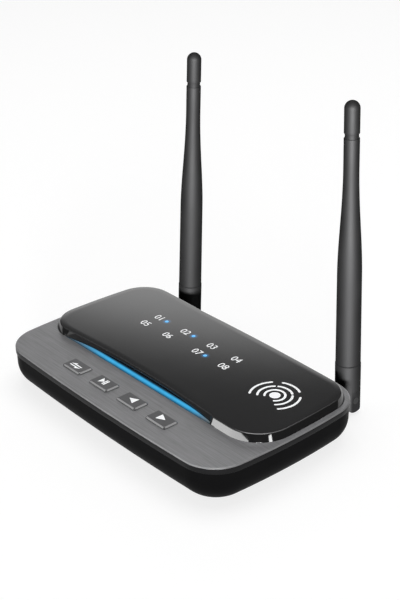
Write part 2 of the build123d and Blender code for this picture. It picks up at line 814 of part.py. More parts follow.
with BuildPart() as power_socket_shell:
    with BuildSketch(Plane.XZ.offset(-power_front_y)) as power_face:
        with Locations((power_x, board_top + power_height / 2)):
            Rectangle(power_width, power_height)
        chamfer(power_face.vertices().group_by(Axis.Y)[0], length=power_chamfer)
    extrude(amount=power_front_y - power_rear_y)
    offset(amount=-power_sheet, openings=power_socket_shell.faces().sort_by(Axis.Y)[-1])
save(power_socket_shell, "power_socket_shell")

with BuildPart() as power_socket_tongue:
    with BuildSketch(Plane.XZ.offset(-power_front_y - power_sheet)):
        with Locations((power_x, board_top + power_height / 2)):
            Rectangle(power_tongue_width, power_tongue_height)
    extrude(amount=-power_tongue_length)
save(power_socket_tongue, "power_socket_tongue")

# ==== screws ====

with BuildPart() as case_screws:
    with BuildSketch(Plane.XY.offset(case_screw_seat)):
        with GridLocations(2 * case_screw_x, 2 * case_screw_y, 2, 2):
            Circle(case_screw_head_radius)
    extrude(amount=-case_screw_head_height)
    with BuildSketch(Plane.XY.offset(case_screw_seat)):
        with GridLocations(2 * case_screw_x, 2 * case_screw_y, 2, 2):
            Circle(case_screw_radius)
    extrude(amount=case_screw_tip - case_screw_seat)
    with BuildSketch(Plane.XY.offset(case_screw_seat - case_screw_head_height)):
        with GridLocations(2 * case_screw_x, 2 * case_screw_y, 2, 2):
            Rectangle(case_screw_head_radius, drive_slot_width)
            Rectangle(drive_slot_width, case_screw_head_radius)
    extrude(amount=drive_slot_depth, mode=Mode.SUBTRACT)
save(case_screws, "case_screws")

with BuildPart() as board_screws:
    with BuildSketch(Plane.XY.offset(board_top)):
        with Locations(*board_screw_points):
            Circle(board_screw_head_radius)
    extrude(amount=board_screw_head_height)
    with BuildSketch(Plane.XY.offset(board_top)):
        with Locations(*board_screw_points):
            Circle(board_screw_radius)
    extrude(amount=-board_screw_reach + screw_gap)
    with BuildSketch(Plane.XY.offset(board_top + board_screw_head_height)):
        with Locations(*board_screw_points):
            Rectangle(board_screw_head_radius, drive_slot_width)
            Rectangle(drive_slot_width, board_screw_head_radius)
    extrude(amount=-drive_slot_depth, mode=Mode.SUBTRACT)
save(board_screws, "board_screws")

# ==== antenna leads ====

with BuildPart() as lead_plugs:
    with BuildSketch(Plane.XY.offset(board_top)):
        with Locations((-lead_plug_x, lead_plug_y), (lead_plug_x, lead_plug_y)):
            Circle(lead_plug_radius)
    extrude(amount=lead_plug_height)
save(lead_plugs, "lead_plugs")


def lead_bend(before, corner, after):
    """Radius of a lead's bend: a share of the shorter run over the tangent of half the turn."""
    run_in = Vector(*corner) - Vector(*before)
    run_out = Vector(*after) - Vector(*corner)
    turn = run_in.get_angle(run_out)
    return lead_bend_share * min(run_in.length, run_out.length) / tan(radians(turn / 2))


for name, side in sides.items():
    lead_points = [
        (side * (lead_plug_x + lead_plug_radius), lead_plug_y, hinge_height),
        (side * lead_turn_x, lead_plug_y, hinge_height),
        (side * antenna_x, lead_turn_y, hinge_height),
        (side * antenna_x, swivel_boss_face_y, hinge_height),
    ]
    bends = [lead_bend(*lead_points[i : i + 3]) for i in range(len(lead_points) - 2)]
    print(f"antenna lead {name} bend radii: {[round(bend, 1) for bend in bends]}")
    with BuildPart() as antenna_lead:
        with BuildLine() as route:
            FilletPolyline(*lead_points, radius=bends)
        with BuildSketch(Plane(origin=route.line @ 0, z_dir=route.line % 0)):
            Circle(lead_radius)
        sweep(path=route.line)
    save(antenna_lead, f"antenna_lead_{name}")

# ==== antennas: swivel about Y in the housing, fold about the pin ====

for name, side in sides.items():
    lean = asin(antenna_tip_shift[name] / antenna_reach)
    pivot = (side * antenna_x, hinge_y, hinge_height)
    pin_direction = Vector(cos(lean), 0, -sin(lean))
    mast_direction = Vector(sin(lean), 0, cos(lean))
    mast = Plane(origin=pivot, x_dir=pin_direction, z_dir=mast_direction)
    across = Plane(origin=pivot, x_dir=(0, 1, 0), z_dir=pin_direction)
    lengthwise = Plane(origin=pivot, x_dir=pin_direction, z_dir=(0, -1, 0))
    mast_axis = Axis(pivot, mast_direction)
    swivel_centre = (side * antenna_x, hinge_height)

    with BuildPart() as swivel_foot:
        with BuildSketch(Plane.XZ.offset(-shaft_end_y)):
            with Locations(swivel_centre):
                Circle(swivel_shaft_radius)
        extrude(amount=shaft_end_y - flange_rear_y)
        with BuildSketch(Plane.XZ.offset(-tongue_root_y)):
            with Locations(swivel_centre):
                Circle(swivel_flange_radius)
        extrude(amount=-swivel_flange_thickness)
        with BuildSketch(across):
            Circle(tongue_radius)
            Rectangle(hinge_y - tongue_root_y, 2 * tongue_radius, align=(Align.MAX, Align.CENTER))
        extrude(amount=tongue_half_thickness, both=True)
        # bore for the antenna lead, groove for the clip, bearing for the hinge pin
        with BuildSketch(Plane.XZ.offset(-shaft_end_y)):
            with Locations(swivel_centre):
                Circle(swivel_lead_bore_radius)
        extrude(amount=shaft_end_y - flange_rear_y, mode=Mode.SUBTRACT)
        with BuildSketch(Plane.XZ.offset(-clip_front_y)):
            with Locations(swivel_centre):
                Circle(swivel_shaft_radius)
                Circle(swivel_shaft_radius - clip_groove_depth, mode=Mode.SUBTRACT)
        extrude(amount=-clip_thickness, mode=Mode.SUBTRACT)
        with BuildSketch(across):
            Circle(hinge_pin_radius + hinge_pin_clearance)
        extrude(amount=tongue_radius, both=True, mode=Mode.SUBTRACT)
    save(swivel_foot, f"{name}_antenna_swivel_foot")

    with BuildPart() as swivel_clip:
        with BuildSketch(Plane.XZ.offset(-clip_front_y)):
            with Locations(swivel_centre):
                Circle(clip_radius)
                Circle(swivel_shaft_radius - clip_groove_depth, mode=Mode.SUBTRACT)
        extrude(amount=-clip_thickness)
    save(swivel_clip, f"{name}_antenna_swivel_clip")

    with BuildPart() as hinge_pin:
        with BuildSketch(across):
            Circle(hinge_pin_radius)
        extrude(amount=knuckle_cheek, both=True)
    save(hinge_pin, f"{name}_antenna_hinge_pin")

    with BuildPart() as knuckle:
        with BuildSketch(mast.offset(-knuckle_radius)):
            Circle(knuckle_radius)
        extrude(amount=knuckle_radius + knuckle_length)
        chamfer(knuckle.edges().sort_by(mast_axis)[-1], length=knuckle_seam_chamfer)
        with BuildSketch(across):
            Circle(knuckle_radius)
            Rectangle(2 * knuckle_radius, knuckle_length, align=(Align.CENTER, Align.MIN))
        extrude(amount=knuckle_radius, both=True, mode=Mode.INTERSECT)
        # flat cheeks either side of the pin
        for cheek in (-1, 1):
            with BuildSketch(across.offset(cheek * knuckle_cheek)):
                with Locations((0, knuckle_cheek_height)):
                    Rectangle(knuckle_cutter, knuckle_cutter, align=(Align.CENTER, Align.MAX))
            extrude(amount=cheek * knuckle_radius, mode=Mode.SUBTRACT)
        # fork slot, open to the front and below, so that the antenna folds back over the tongue
        with BuildSketch(across):
            Circle(tongue_radius + knuckle_hub_gap)
            Rectangle(
                knuckle_cutter, 2 * (tongue_radius + knuckle_hub_gap), align=(Align.MAX, Align.CENTER)
            )
            with Locations((0, fork_slot_rise)):
                Rectangle(knuckle_cutter, knuckle_cutter, align=(Align.CENTER, Align.MAX))
        extrude(amount=tongue_half_thickness + knuckle_slot_gap, both=True, mode=Mode.SUBTRACT)
        with BuildSketch(across):
            Circle(hinge_pin_radius)
        extrude(amount=2 * knuckle_radius, both=True, mode=Mode.SUBTRACT)
        # spigot that the sleeve is pushed onto
        with BuildSketch(mast.offset(knuckle_length)):
            Circle(spigot_radius)
        extrude(amount=spigot_height)
    save(knuckle, f"{name}_antenna_knuckle")

    with BuildPart() as sleeve:
        with BuildSketch(lengthwise):
            with BuildLine():
                Polyline(
                    (sleeve_bore_radius, sleeve_top_height),
                    (sleeve_bore_radius, knuckle_length + spigot_height),
                    (spigot_radius, knuckle_length + spigot_height),
                    (spigot_radius, knuckle_length),
                    (sleeve_base_radius - knuckle_seam_chamfer, knuckle_length),
                    (sleeve_base_radius, knuckle_length + knuckle_seam_chamfer),
                    (sleeve_waist_radius, sleeve_waist_height),
                )
                Bezier(
                    (sleeve_waist_radius, sleeve_waist_height),
                    (sleeve_waist_radius, sleeve_waist_height + sleeve_waist_pull),
                    (sleeve_neck_radius, sleeve_neck_height - sleeve_neck_pull),
                    (sleeve_neck_radius, sleeve_neck_height),
                )
                Polyline(
                    (sleeve_neck_radius, sleeve_neck_height),
                    (sleeve_neck_radius, sleeve_top_height),
                    (sleeve_bore_radius, sleeve_top_height),
                )
            make_face()
        revolve(axis=mast_axis)
    save(sleeve, f"{name}_antenna_sleeve")

    with BuildPart() as tip_cap:
        with BuildSketch(lengthwise):
            with BuildLine():
                neck_top = sleeve_top_height + tip_neck_height
                dome_base = antenna_reach - tip_radius
                Polyline(
                    (0, antenna_reach),
                    (0, sleeve_top_height - tip_plug_length),
                    (sleeve_bore_radius, sleeve_top_height - tip_plug_length),
                    (sleeve_bore_radius, sleeve_top_height),
                    (tip_neck_radius, sleeve_top_height),
                    (tip_neck_radius, neck_top),
                    (tip_radius, neck_top),
                    (tip_radius, dome_base),
                )
                RadiusArc((tip_radius, dome_base), (0, antenna_reach), -tip_radius)
            make_face()
        revolve(axis=mast_axis)
    save(tip_cap, f"{name}_antenna_tip_cap")

    with BuildPart() as radiator:
        radiator_base = knuckle_length + spigot_height
        with BuildSketch(mast.offset(radiator_base)):
            Circle(radiator_radius)
        extrude(amount=sleeve_top_height - tip_plug_length - radiator_headroom - radiator_base)
        with BuildSketch(mast.offset(radiator_base)):
            Circle(radiator_sleeve_radius)
        extrude(amount=radiator_sleeve_length)
    save(radiator, f"{name}_antenna_radiator")
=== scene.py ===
"""Looks of the bluetooth audio receiver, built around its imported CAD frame.

Sizes and places are in millimetres, in the frame's own axes: +X runs along the row of buttons,
-Y faces the user, +Y is the back with the sockets and antennas, and Z 0 is the surface that the
receiver stands on. Meshes are scaled to metres as they are made.
"""
from __future__ import annotations

import json
import logging
import math
from dataclasses import dataclass
from enum import Enum

import bmesh
import bpy
import numpy as np
from mathutils import Matrix, Vector

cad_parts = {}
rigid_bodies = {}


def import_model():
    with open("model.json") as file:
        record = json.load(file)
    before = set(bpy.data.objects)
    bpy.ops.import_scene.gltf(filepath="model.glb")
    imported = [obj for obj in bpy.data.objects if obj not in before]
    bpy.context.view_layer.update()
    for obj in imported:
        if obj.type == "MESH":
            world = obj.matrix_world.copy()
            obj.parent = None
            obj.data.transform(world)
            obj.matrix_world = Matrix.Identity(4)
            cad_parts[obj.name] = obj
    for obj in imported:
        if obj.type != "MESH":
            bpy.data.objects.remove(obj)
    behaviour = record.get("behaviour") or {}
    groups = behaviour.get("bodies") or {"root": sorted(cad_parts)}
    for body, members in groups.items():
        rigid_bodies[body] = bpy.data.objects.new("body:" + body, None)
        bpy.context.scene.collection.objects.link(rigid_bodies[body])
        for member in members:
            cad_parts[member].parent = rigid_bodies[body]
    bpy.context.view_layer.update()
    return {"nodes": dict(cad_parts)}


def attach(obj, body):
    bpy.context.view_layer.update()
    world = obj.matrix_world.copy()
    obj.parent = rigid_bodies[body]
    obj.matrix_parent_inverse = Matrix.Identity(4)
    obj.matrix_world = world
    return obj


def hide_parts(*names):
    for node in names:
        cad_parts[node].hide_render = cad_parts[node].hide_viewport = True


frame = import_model()

Array = np.ndarray
Piece = bpy.types.Object
Socket = bpy.types.NodeSocket
Place = tuple[float, float]
Point = tuple[float, float, float]
Colour = tuple[float, float, float]
log = logging.getLogger("receiver")
MM = 0.001
MERGE_DISTANCE = 1e-7
COPY_MERGE_DISTANCE = 1e-6
CREASE_ANGLE = math.radians(32)
FLAT_ANGLE = math.radians(0.6)
ROUNDED_ANGLE = math.radians(40)


@dataclass(frozen=True)
class Levels:
    """Heights and setbacks that more than one sub-assembly shares."""

    skirt_bottom: float = 13.1
    deck_underside: float = 14.0
    pocket_floor: float = 14.7
    deck_top: float = 15.5
    panel_ceiling: float = 16.55
    panel_top: float = 18.05
    button_top: float = 16.2
    panel_front: float = -15.1
    ink_height: float = 0.03
    ink_root: float = 0.01


LEVELS = Levels()


# ---------------------------------------- curves, grids and meshes


def directions(angles: Array) -> Array:
    """Rows (cos a, sin a) for angles a in degrees."""
    turns = np.radians(angles)
    return np.stack([np.cos(turns), np.sin(turns)], axis=1)


def arc_run(centre: Place, radius: float, start: float, end: float, steps: int) -> tuple[Array, Array]:
    """Points centre + radius * (cos a, sin a) for angles a from start up to, but not at, end.

    Args:
        centre: Centre of the arc.
        radius: Radius of the arc.
        start: First angle in degrees.
        end: Angle in degrees that the next run starts at.
        steps: Number of points.

    Returns:
        The points and their outward unit normals, which are (cos a, sin a).
    """
    normals = directions(np.linspace(start, end, steps, endpoint=False))
    return np.asarray(centre) + radius * normals, normals


def line_run(start: Place, end: Place, steps: int) -> tuple[Array, Array]:
    """Points start + t * (end - start) for even t from 0 up to, but not at, 1.

    Args:
        start: First point.
        end: Point that the next run starts at.
        steps: Number of points.

    Returns:
        The points and their normals, to the right of the way along the line.
    """
    first, last = np.asarray(start, float), np.asarray(end, float)
    share = np.linspace(0, 1, steps, endpoint=False)[:, None]
    way = (last - first) / np.linalg.norm(last - first)
    return first + share * (last - first), np.tile([way[1], -way[0]], (steps, 1))


@dataclass
class PlanCurve:
    """A closed counter-clockwise curve in plan with its outward normals.

    The curve inset by d is points - d * normals, so every inset has its corners truly rounded.
    """

    points: Array
    normals: Array

    @classmethod
    def join(cls, *runs: tuple[Array, Array]) -> PlanCurve:
        """Puts runs end to end into one closed curve."""
        return cls(np.concatenate([r[0] for r in runs]), np.concatenate([r[1] for r in runs]))

    def wall(self, profile: Array | list[Place], depth: Array | float = 0.0) -> Array:
        """Carries a profile of (inset, height) rows round the curve.

        Args:
            profile: Rows of inset and height.
            depth: Least inset of each point of the curve, taken where it is more than the profile's.

        Returns:
            Rings of points, one ring for each row: points - max(inset, depth) * normals.
        """
        rows = np.asarray(profile, float)
        inset = np.maximum(rows[:, :1], depth) + np.zeros((1, len(self.points)))
        plan = self.points[None] - inset[..., None] * self.normals[None]
        height = np.broadcast_to(rows[:, 1, None, None], plan.shape[:2] + (1,))
        return np.concatenate([plan, height], axis=2)


def rounded_rectangle(middle: Place, length: float, width: float, corner: float, steps: int = 8) -> PlanCurve:
    """A rectangle with sides along X and Y whose four corners are arcs.

    Args:
        middle: Centre of the rectangle.
        length: Size along X.
        width: Size along Y.
        corner: Radius of the corners.
        steps: Points in each corner and on each side.

    Returns:
        The curve, counter-clockwise from the front side's right end.
    """
    x, y = length / 2 - corner, width / 2 - corner
    centres = np.array([(x, -y), (x, y), (-x, y), (-x, -y)])
    runs = []
    for turn, (centre, ahead) in enumerate(zip(centres, np.roll(centres, -1, axis=0))):
        out = corner * np.array([(1, 0), (0, 1), (-1, 0), (0, -1)][turn])
        runs.append(arc_run(centre, corner, 90 * turn - 90, 90 * turn, steps))
        runs.append(line_run(centre + out, ahead + out, steps))
    curve = PlanCurve.join(*runs)
    curve.points = curve.points + np.asarray(middle)
    return curve


def circle_curve(middle: Place, radius: float, steps: int = 64) -> PlanCurve:
    """A circle in plan, counter-clockwise from the front of it."""
    return PlanCurve(*arc_run(middle, radius, -90, 270, steps))


def rounded_path(corners: list[Place], radii: list[float], steps: int = 5) -> Array:
    """An open path whose inner corners give way to arcs tangent to both of their runs.

    The arc's centre lies on the corner's bisector at radius / sin(half the angle), and its points
    are swung from one tangent point to the other.

    Args:
        corners: The path's points.
        radii: Radius of each inner corner, and zero for one that stays sharp.
        steps: Points in each arc.

    Returns:
        The path's points in order.
    """
    knots = np.asarray(corners, float)
    parts = [knots[:1]]
    for before, corner, after, radius in zip(knots[:-2], knots[1:-1], knots[2:], radii):
        if radius == 0:
            parts.append(corner[None])
            continue
        back = (before - corner) / np.linalg.norm(before - corner)
        on = (after - corner) / np.linalg.norm(after - corner)
        half = math.acos(float(np.clip(back @ on, -1, 1))) / 2
        middle = corner + (back + on) / np.linalg.norm(back + on) * radius / math.sin(half)
        first = corner + back * radius / math.tan(half) - middle
        last = corner + on * radius / math.tan(half) - middle
        turn = math.pi - 2 * half
        share = np.linspace(0, 1, steps)[:, None]
        swing = np.sin((1 - share) * turn) * first + np.sin(share * turn) * last
        parts.append(middle + swing / math.sin(turn))
    parts.append(knots[-1:])
    return np.concatenate(parts)


def smooth_step(share: Array) -> Array:
    """The smooth step 3t^2 - 2t^3 from 0 to 1."""
    return share * share * (3 - 2 * share)


def set_shading(mesh: bpy.types.Mesh) -> None:
    """Shades smoothly, with creases where faces meet at more than the crease angle."""
    mesh.shade_smooth()
    mesh.set_sharp_from_angle(angle=CREASE_ANGLE)


def tidy_mesh(mesh: bpy.types.Mesh) -> None:
    """Merges doubles, drops faces without area, turns every face outwards and sets its shading."""
    work = bmesh.new()
    work.from_mesh(mesh)
    bmesh.ops.remove_doubles(work, verts=work.verts, dist=MERGE_DISTANCE)
    bmesh.ops.dissolve_degenerate(work, edges=work.edges, dist=MERGE_DISTANCE)
    bmesh.ops.recalc_face_normals(work, faces=work.faces)
    work.to_mesh(mesh)
    work.free()
    set_shading(mesh)


def new_object(name: str, data: bpy.types.ID) -> Piece:
    """Puts data into the scene as an object at the origin."""
    piece = bpy.data.objects.new(name, data)
    bpy.context.scene.collection.objects.link(piece)
    return piece


def skin(name: str, rings: Array, closed: bool = False) -> Piece:
    """Covers rings of points with quads, and closes both ends unless the rings form a loop.

    Args:
        name: Name of the new object.
        rings: Array of rings by points by xyz, in millimetres.
        closed: Whether the last ring joins the first.

    Returns:
        The object, whose mesh is closed.
    """
    rows, count = rings.shape[:2]
    row, column = np.arange(rows if closed else rows - 1)[:, None], np.arange(count)[None, :]
    above, beside = (row + 1) % rows, (column + 1) % count
    quads = [row * count + column, row * count + beside, above * count + beside, above * count + column]
    faces = np.stack(quads, axis=-1).reshape(-1, 4).tolist()
    if not closed:
        ends = np.arange(rows * count).reshape(rows, count)[[0, -1]]
        faces += [e.tolist() for e, ring in zip(ends, rings[[0, -1]]) if np.ptp(ring, axis=0).max() > MM]
    mesh = bpy.data.meshes.new(name)
    mesh.from_pydata((rings.reshape(-1, 3) * MM).tolist(), [], faces)
    tidy_mesh(mesh)
    return new_object(name, mesh)


def prism(name: str, outline: Array, bottom: float, top: float) -> Piece:
    """A flat shape given height: its outline at two levels, joined by upright sides."""
    base = np.pad(np.asarray(outline, float), ((0, 0), (0, 1)))
    return skin(name, np.stack([base + [0, 0, bottom], base + [0, 0, top]]))


def lathe(name: str, profile: Array, axes: tuple[Array, ...], steps: int, closed: bool = False) -> Piece:
    """Turns a profile about an axis: origin + height * axis + radius * (cos a * side + sin a * third).

    Args:
        name: Name of the new object.
        profile: Rows of radius and height along the axis.
        axes: Point of the axis at height zero, the axis and a side square to it, both units.
        steps: Points round the axis.
        closed: Whether the last ring joins the first.

    Returns:
        The turned object.
    """
    origin, axis, side = axes
    angles = np.linspace(0, 2 * np.pi, steps, endpoint=False)[None, :, None]
    spoke = np.cos(angles) * side + np.sin(angles) * np.cross(axis, side)
    rings = origin + profile[:, 1, None, None] * axis + profile[:, 0, None, None] * spoke
    return skin(name, rings, closed)


class Cut(Enum):
    """What a tool does to the piece that it meets."""

    AWAY = "DIFFERENCE"
    ONTO = "UNION"


def shape_with(piece: Piece, tools: list[Piece], cut: Cut) -> None:
    """Takes the tools away from a piece or adds them to it, and deletes the tools.

    Args:
        piece: The closed piece, whose mesh is replaced by the result.
        tools: Closed tools, each of which crosses the piece.
        cut: What the tools do.
    """
    for tool in tools:
        step = piece.modifiers.new("tool", "BOOLEAN")
        step.operation, step.solver, step.object = cut.value, "EXACT", tool
    bpy.context.view_layer.update()
    graph = bpy.context.evaluated_depsgraph_get()
    mesh = bpy.data.meshes.new_from_object(piece.evaluated_get(graph))
    piece.modifiers.clear()
    piece.data = mesh
    mesh.name = piece.name
    for tool in tools:
        bpy.data.objects.remove(tool)
    set_shading(mesh)


def rounded_copy(node: str, width: float) -> Piece:
    """A copy of a CAD node with its doubles merged, its flats made whole and its edges rounded.

    Args:
        node: Name of the CAD node.
        width: Width of the rounding in millimetres.

    Returns:
        The copy, which still has to be dressed.
    """
    mesh = frame["nodes"][node].data.copy()
    mesh.name = f"{node}_rounded"
    mesh.materials.clear()
    work = bmesh.new()
    work.from_mesh(mesh)
    bmesh.ops.remove_doubles(work, verts=work.verts, dist=COPY_MERGE_DISTANCE)
    bmesh.ops.dissolve_limit(work, angle_limit=FLAT_ANGLE, verts=work.verts, edges=work.edges)
    work.to_mesh(mesh)
    work.free()
    if mesh.attributes.get("custom_normal"):
        mesh.attributes.remove(mesh.attributes["custom_normal"])
    set_shading(mesh)
    piece = new_object(mesh.name, mesh)
    rounding = piece.modifiers.new("edges", "BEVEL")
    rounding.width, rounding.segments = width * MM, 2
    rounding.limit_method, rounding.angle_limit = "ANGLE", ROUNDED_ANGLE
    rounding.harden_normals = True
    return piece


def dress(piece: Piece, body: str, finish: Finish, *nodes: str) -> None:
    """Gives a finished piece its material, its body and the CAD nodes that it stands for.

    Args:
        piece: The finished piece.
        body: Body that it rides on.
        finish: Finish of its surface.
        nodes: CAD nodes that it replaces.
    """
    piece.data.materials.clear()
    piece.data.materials.append(finish.material())
    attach(piece, body)
    if nodes:
        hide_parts(*nodes)
    log.info("%s rides on %s", piece.name, body)


def print_ink(name: str, outline: Array, level: float, body: str = "housing") -> None:
    """Prints an outline in white ink on the face at a level."""
    dress(prism(name, outline, level - LEVELS.ink_root, level + LEVELS.ink_height), body, INK)


# ---------------------------------------- finishes


class Nodes:
    """Short ways to add and link the nodes of one tree."""

    def __init__(self, tree: bpy.types.NodeTree) -> None:
        """Empties the tree and keeps it."""
        tree.nodes.clear()
        self.tree = tree

    def add(self, kind: str, settings: dict | None = None, inputs: dict | None = None) -> bpy.types.Node:
        """Adds a node.

        Args:
            kind: Node type without its ShaderNode prefix.
            settings: Properties of the node.
            inputs: Socket names or numbers, each with a value or with the output that feeds it.

        Returns:
            The new node.
        """
        node = self.tree.nodes.new("ShaderNode" + kind)
        for name, value in (settings or {}).items():
            setattr(node, name, value)
        for name, value in (inputs or {}).items():
            if isinstance(value, Socket):
                self.tree.links.new(value, node.inputs[name])
            else:
                node.inputs[name].default_value = value
        return node

    def math(self, operation: str, *values: object) -> Socket:
        """The result of one sum on numbers or outputs."""
        return self.add("Math", {"operation": operation}, dict(enumerate(values))).outputs[0]

    def total(self, *parts: object, operation: str = "ADD") -> Socket:
        """All parts added up in turn, or joined by another operation."""
        result = parts[0]
        for part in parts[1:]:
            result = self.math(operation, result, part)
        return result

    def product(self, *parts: object) -> Socket:
        """All parts multiplied."""
        return self.total(*parts, operation="MULTIPLY")

    def vector(self, operation: str, first: object, second: object = (0, 0, 0)) -> bpy.types.Node:
        """A node that does one sum on vectors."""
        return self.add("VectorMath", {"operation": operation}, {0: first, 1: second})

    def place(self, scale: Point = (1, 1, 1), origin: Point = (0, 0, 0)) -> Socket:
        """Object coordinates in millimetres, measured from origin and then stretched by scale."""
        start = tuple(np.asarray(origin, float) * MM)
        moved = self.vector("SUBTRACT", self.add("TexCoord").outputs["Object"], start).outputs[0]
        return self.vector("MULTIPLY", moved, tuple(s / MM for s in scale)).outputs[0]

    def axis(self, number: int) -> Socket:
        """One object coordinate in millimetres."""
        return self.add("SeparateXYZ", None, {0: self.place()}).outputs[number]

    def reach(self, middle: Place) -> Socket:
        """Distance in plan from a middle, in millimetres."""
        return self.vector("LENGTH", self.place((1, 1, 0), (*middle, 0))).outputs["Value"]

    def noise(self, size: float, detail: float = 3, vector: Socket | None = None) -> Socket:
        """A soft random pattern from 0 to 1 with features about size millimetres across."""
        inputs = {"Vector": vector or self.place(), "Scale": 1 / size, "Detail": detail}
        return self.add("TexNoise", None, inputs).outputs[0]

    def span(self, value: Socket, low: float, high: float, to: Place, smooth: bool = False) -> Socket:
        """A value carried from the range low to high onto the range to, and held at its ends."""
        kind = "SMOOTHSTEP" if smooth else "LINEAR"
        inputs = {"Value": value, "From Min": low, "From Max": high, "To Min": to[0], "To Max": to[1]}
        return self.add("MapRange", {"interpolation_type": kind}, inputs).outputs[0]

    def drift(self, pattern: Socket, low: float, high: float) -> Socket:
        """A value that wanders from low to high with the middle range of a noise."""
        return self.span(pattern, 0.3, 0.7, (low, high))

    def blend(self, share: Socket, first: object, second: object) -> Socket:
        """A colour between first and second."""
        first, second = [v if isinstance(v, Socket) else (*v, 1) for v in (first, second)]
        return self.add("Mix", {"data_type": "RGBA"}, {0: share, 6: first, 7: second}).outputs[2]

    def tint(self, share: Socket, colour: Colour, low: float, high: float) -> Socket:
        """A colour that goes from low times to high times itself."""
        return self.blend(share, shade(colour, low), shade(colour, high))

    def bump(self, height: Socket, relief: float) -> Socket:
        """A normal disturbed by a height pattern that is relief millimetres deep."""
        return self.add("Bump", None, {"Height": height, "Distance": relief * MM, "Strength": 1.0}).outputs[0]

    def surface(self, inputs: dict) -> None:
        """Ends the tree with a principled shader that has these inputs."""
        shader = self.add("BsdfPrincipled", None, inputs)
        self.add("OutputMaterial", None, {"Surface": shader.outputs[0]})


def shade(colour: Colour, factor: float) -> Colour:
    """A colour made lighter or darker by a factor."""
    return tuple(min(1.0, c * factor) for c in colour)


@dataclass(frozen=True)
class Finish:
    """A surface finish that makes its material once and then shares it."""

    name: str
    colour: Colour

    def material(self) -> bpy.types.Material:
        """The finish's material, made when it is first asked for."""
        made = bpy.data.materials.get(self.name)
        if made is None:
            made = bpy.data.materials.new(self.name)
            made.use_nodes = True
            self.build(Nodes(made.node_tree))
        return made

    def build(self, nodes: Nodes) -> None:
        """Fills the node tree."""
        raise NotImplementedError


@dataclass(frozen=True)
class MouldedPlastic(Finish):
    """Spark-eroded moulded plastic or rubber: fine grain, faint mottle and uneven gloss."""

    roughness: float = 0.5
    specular: float = 0.5
    grain: float = 0.22
    relief: float = 0.004
    mottle: float = 0.12

    def build(self, nodes: Nodes) -> None:
        """Grain lifts the normal, and a broad noise shifts colour and gloss."""
        cloud, grain = nodes.noise(9.0, 4), nodes.noise(self.grain, 2)
        low, high = self.roughness * 0.92, self.roughness * 1.08
        nodes.surface({
            "Base Color": nodes.tint(nodes.drift(cloud, 0, 1), self.colour, 1 - self.mottle, 1 + self.mottle),
            "Roughness": nodes.span(nodes.total(cloud, grain), 0.7, 1.3, (low, high)),
            "Specular IOR Level": self.specular,
            "Normal": nodes.bump(grain, self.relief),
        })


@dataclass(frozen=True)
class BrushedMetal(Finish):
    """Lacquered metal brushed along X, with a diamond-cut bright edge and painted shade, a near-black colour,
    on the skirt below it.
    """

    roughness: float = 0.42
    metallic: float = 0.5
    streak_length: float = 14.0
    streak_width: float = 0.28
    contrast: float = 0.3
    relief: float = 0.003
    # Near-black colour for the faces below the cut edge: painted shade on the upright skirt, not the metal's
    # own colour.
    skirt_painted_shade: Colour = (0.012, 0.012, 0.0125)
    edge_colour: Colour = (0.36, 0.36, 0.365)
    edge_span: Place = (15.13, 15.47)
    edge_polish: float = 0.0

    def streaks(self, nodes: Nodes) -> Socket:
        """Noise stretched along X, once broad and once fine."""
        along, across = 1 / self.streak_length, 1 / self.streak_width
        broad = nodes.noise(1.0, 2, nodes.place((along, across, across)))
        fine = nodes.noise(1.0, 3, nodes.place((3 * along, 2.6 * across, 2.6 * across)))
        return nodes.total(nodes.product(broad, 0.6), nodes.product(fine, 0.4))

    def build(self, nodes: Nodes) -> None:
        """The height above the table tells the skirt, the cut edge and the brushed top apart; the skirt's
        near-black colour is painted shade.
        """
        height = nodes.axis(2)
        over_shaded_skirt, over_edge = [nodes.span(height, z - 0.02, z + 0.02, (0, 1)) for z in self.edge_span]
        edge = nodes.math("SUBTRACT", over_shaded_skirt, over_edge)
        streak = self.streaks(nodes)
        tone = nodes.total(nodes.drift(streak, 0, 0.8), nodes.drift(nodes.noise(16.0), 0, 0.2))
        brushed = nodes.tint(tone, self.colour, 1 - self.contrast, 1 + self.contrast)
        upper = nodes.blend(over_edge, self.edge_colour, brushed)
        rough = nodes.drift(streak, self.roughness + 0.06, self.roughness - 0.06)
        nodes.surface({
            # Below the skirt level the colour is painted shade on the upright side.
            "Base Color": nodes.blend(over_shaded_skirt, self.skirt_painted_shade, upper),
            "Roughness": nodes.math("SUBTRACT", rough, nodes.product(edge, self.edge_polish)),
            "Metallic": nodes.span(edge, 0, 1, (self.metallic, 1.0)),
            "Specular IOR Level": nodes.span(over_shaded_skirt, 0, 1, (0.05, 0.5)),
            "Normal": nodes.bump(streak, self.relief),
        })


@dataclass(frozen=True)
class SatinBlack(Finish):
    """Satin black coat that shines softly in the middle and stays dark at its rim."""

    roughness: float = 0.66
    grain: float = 0.16
    relief: float = 0.002

    def build(self, nodes: Nodes) -> None:
        """A fine grain lifts the normal, and a broad noise shifts the gloss."""
        cloud, grain = nodes.noise(9.0, 4), nodes.noise(self.grain, 2)
        nodes.surface({
            "Base Color": nodes.tint(cloud, self.colour, 0.94, 1.06),
            "Roughness": nodes.drift(cloud, self.roughness * 0.96, self.roughness * 1.04),
            "Metallic": 1.0,
            "Specular Tint": (0.0, 0.0, 0.0, 1.0),
            "Normal": nodes.bump(grain, self.relief),
        })


@dataclass(frozen=True)
class PlatedMetal(Finish):
    """Plated or drawn metal: faint scratches and a cloudy gloss."""

    roughness: float = 0.3

    def build(self, nodes: Nodes) -> None:
        """A broad noise shifts gloss and tone, and a stretched one scratches the normal."""
        cloud = nodes.noise(2.2, 4)
        scratch = nodes.noise(1.0, 2, nodes.place((0.6, 7.0, 7.0)))
        nodes.surface({
            "Base Color": nodes.tint(cloud, self.colour, 0.8, 1.15),
            "Roughness": nodes.span(cloud, 0.25, 0.75, (self.roughness * 0.75, self.roughness * 1.3)),
            "Metallic": 1.0,
            "Normal": nodes.bump(scratch, 0.002),
        })


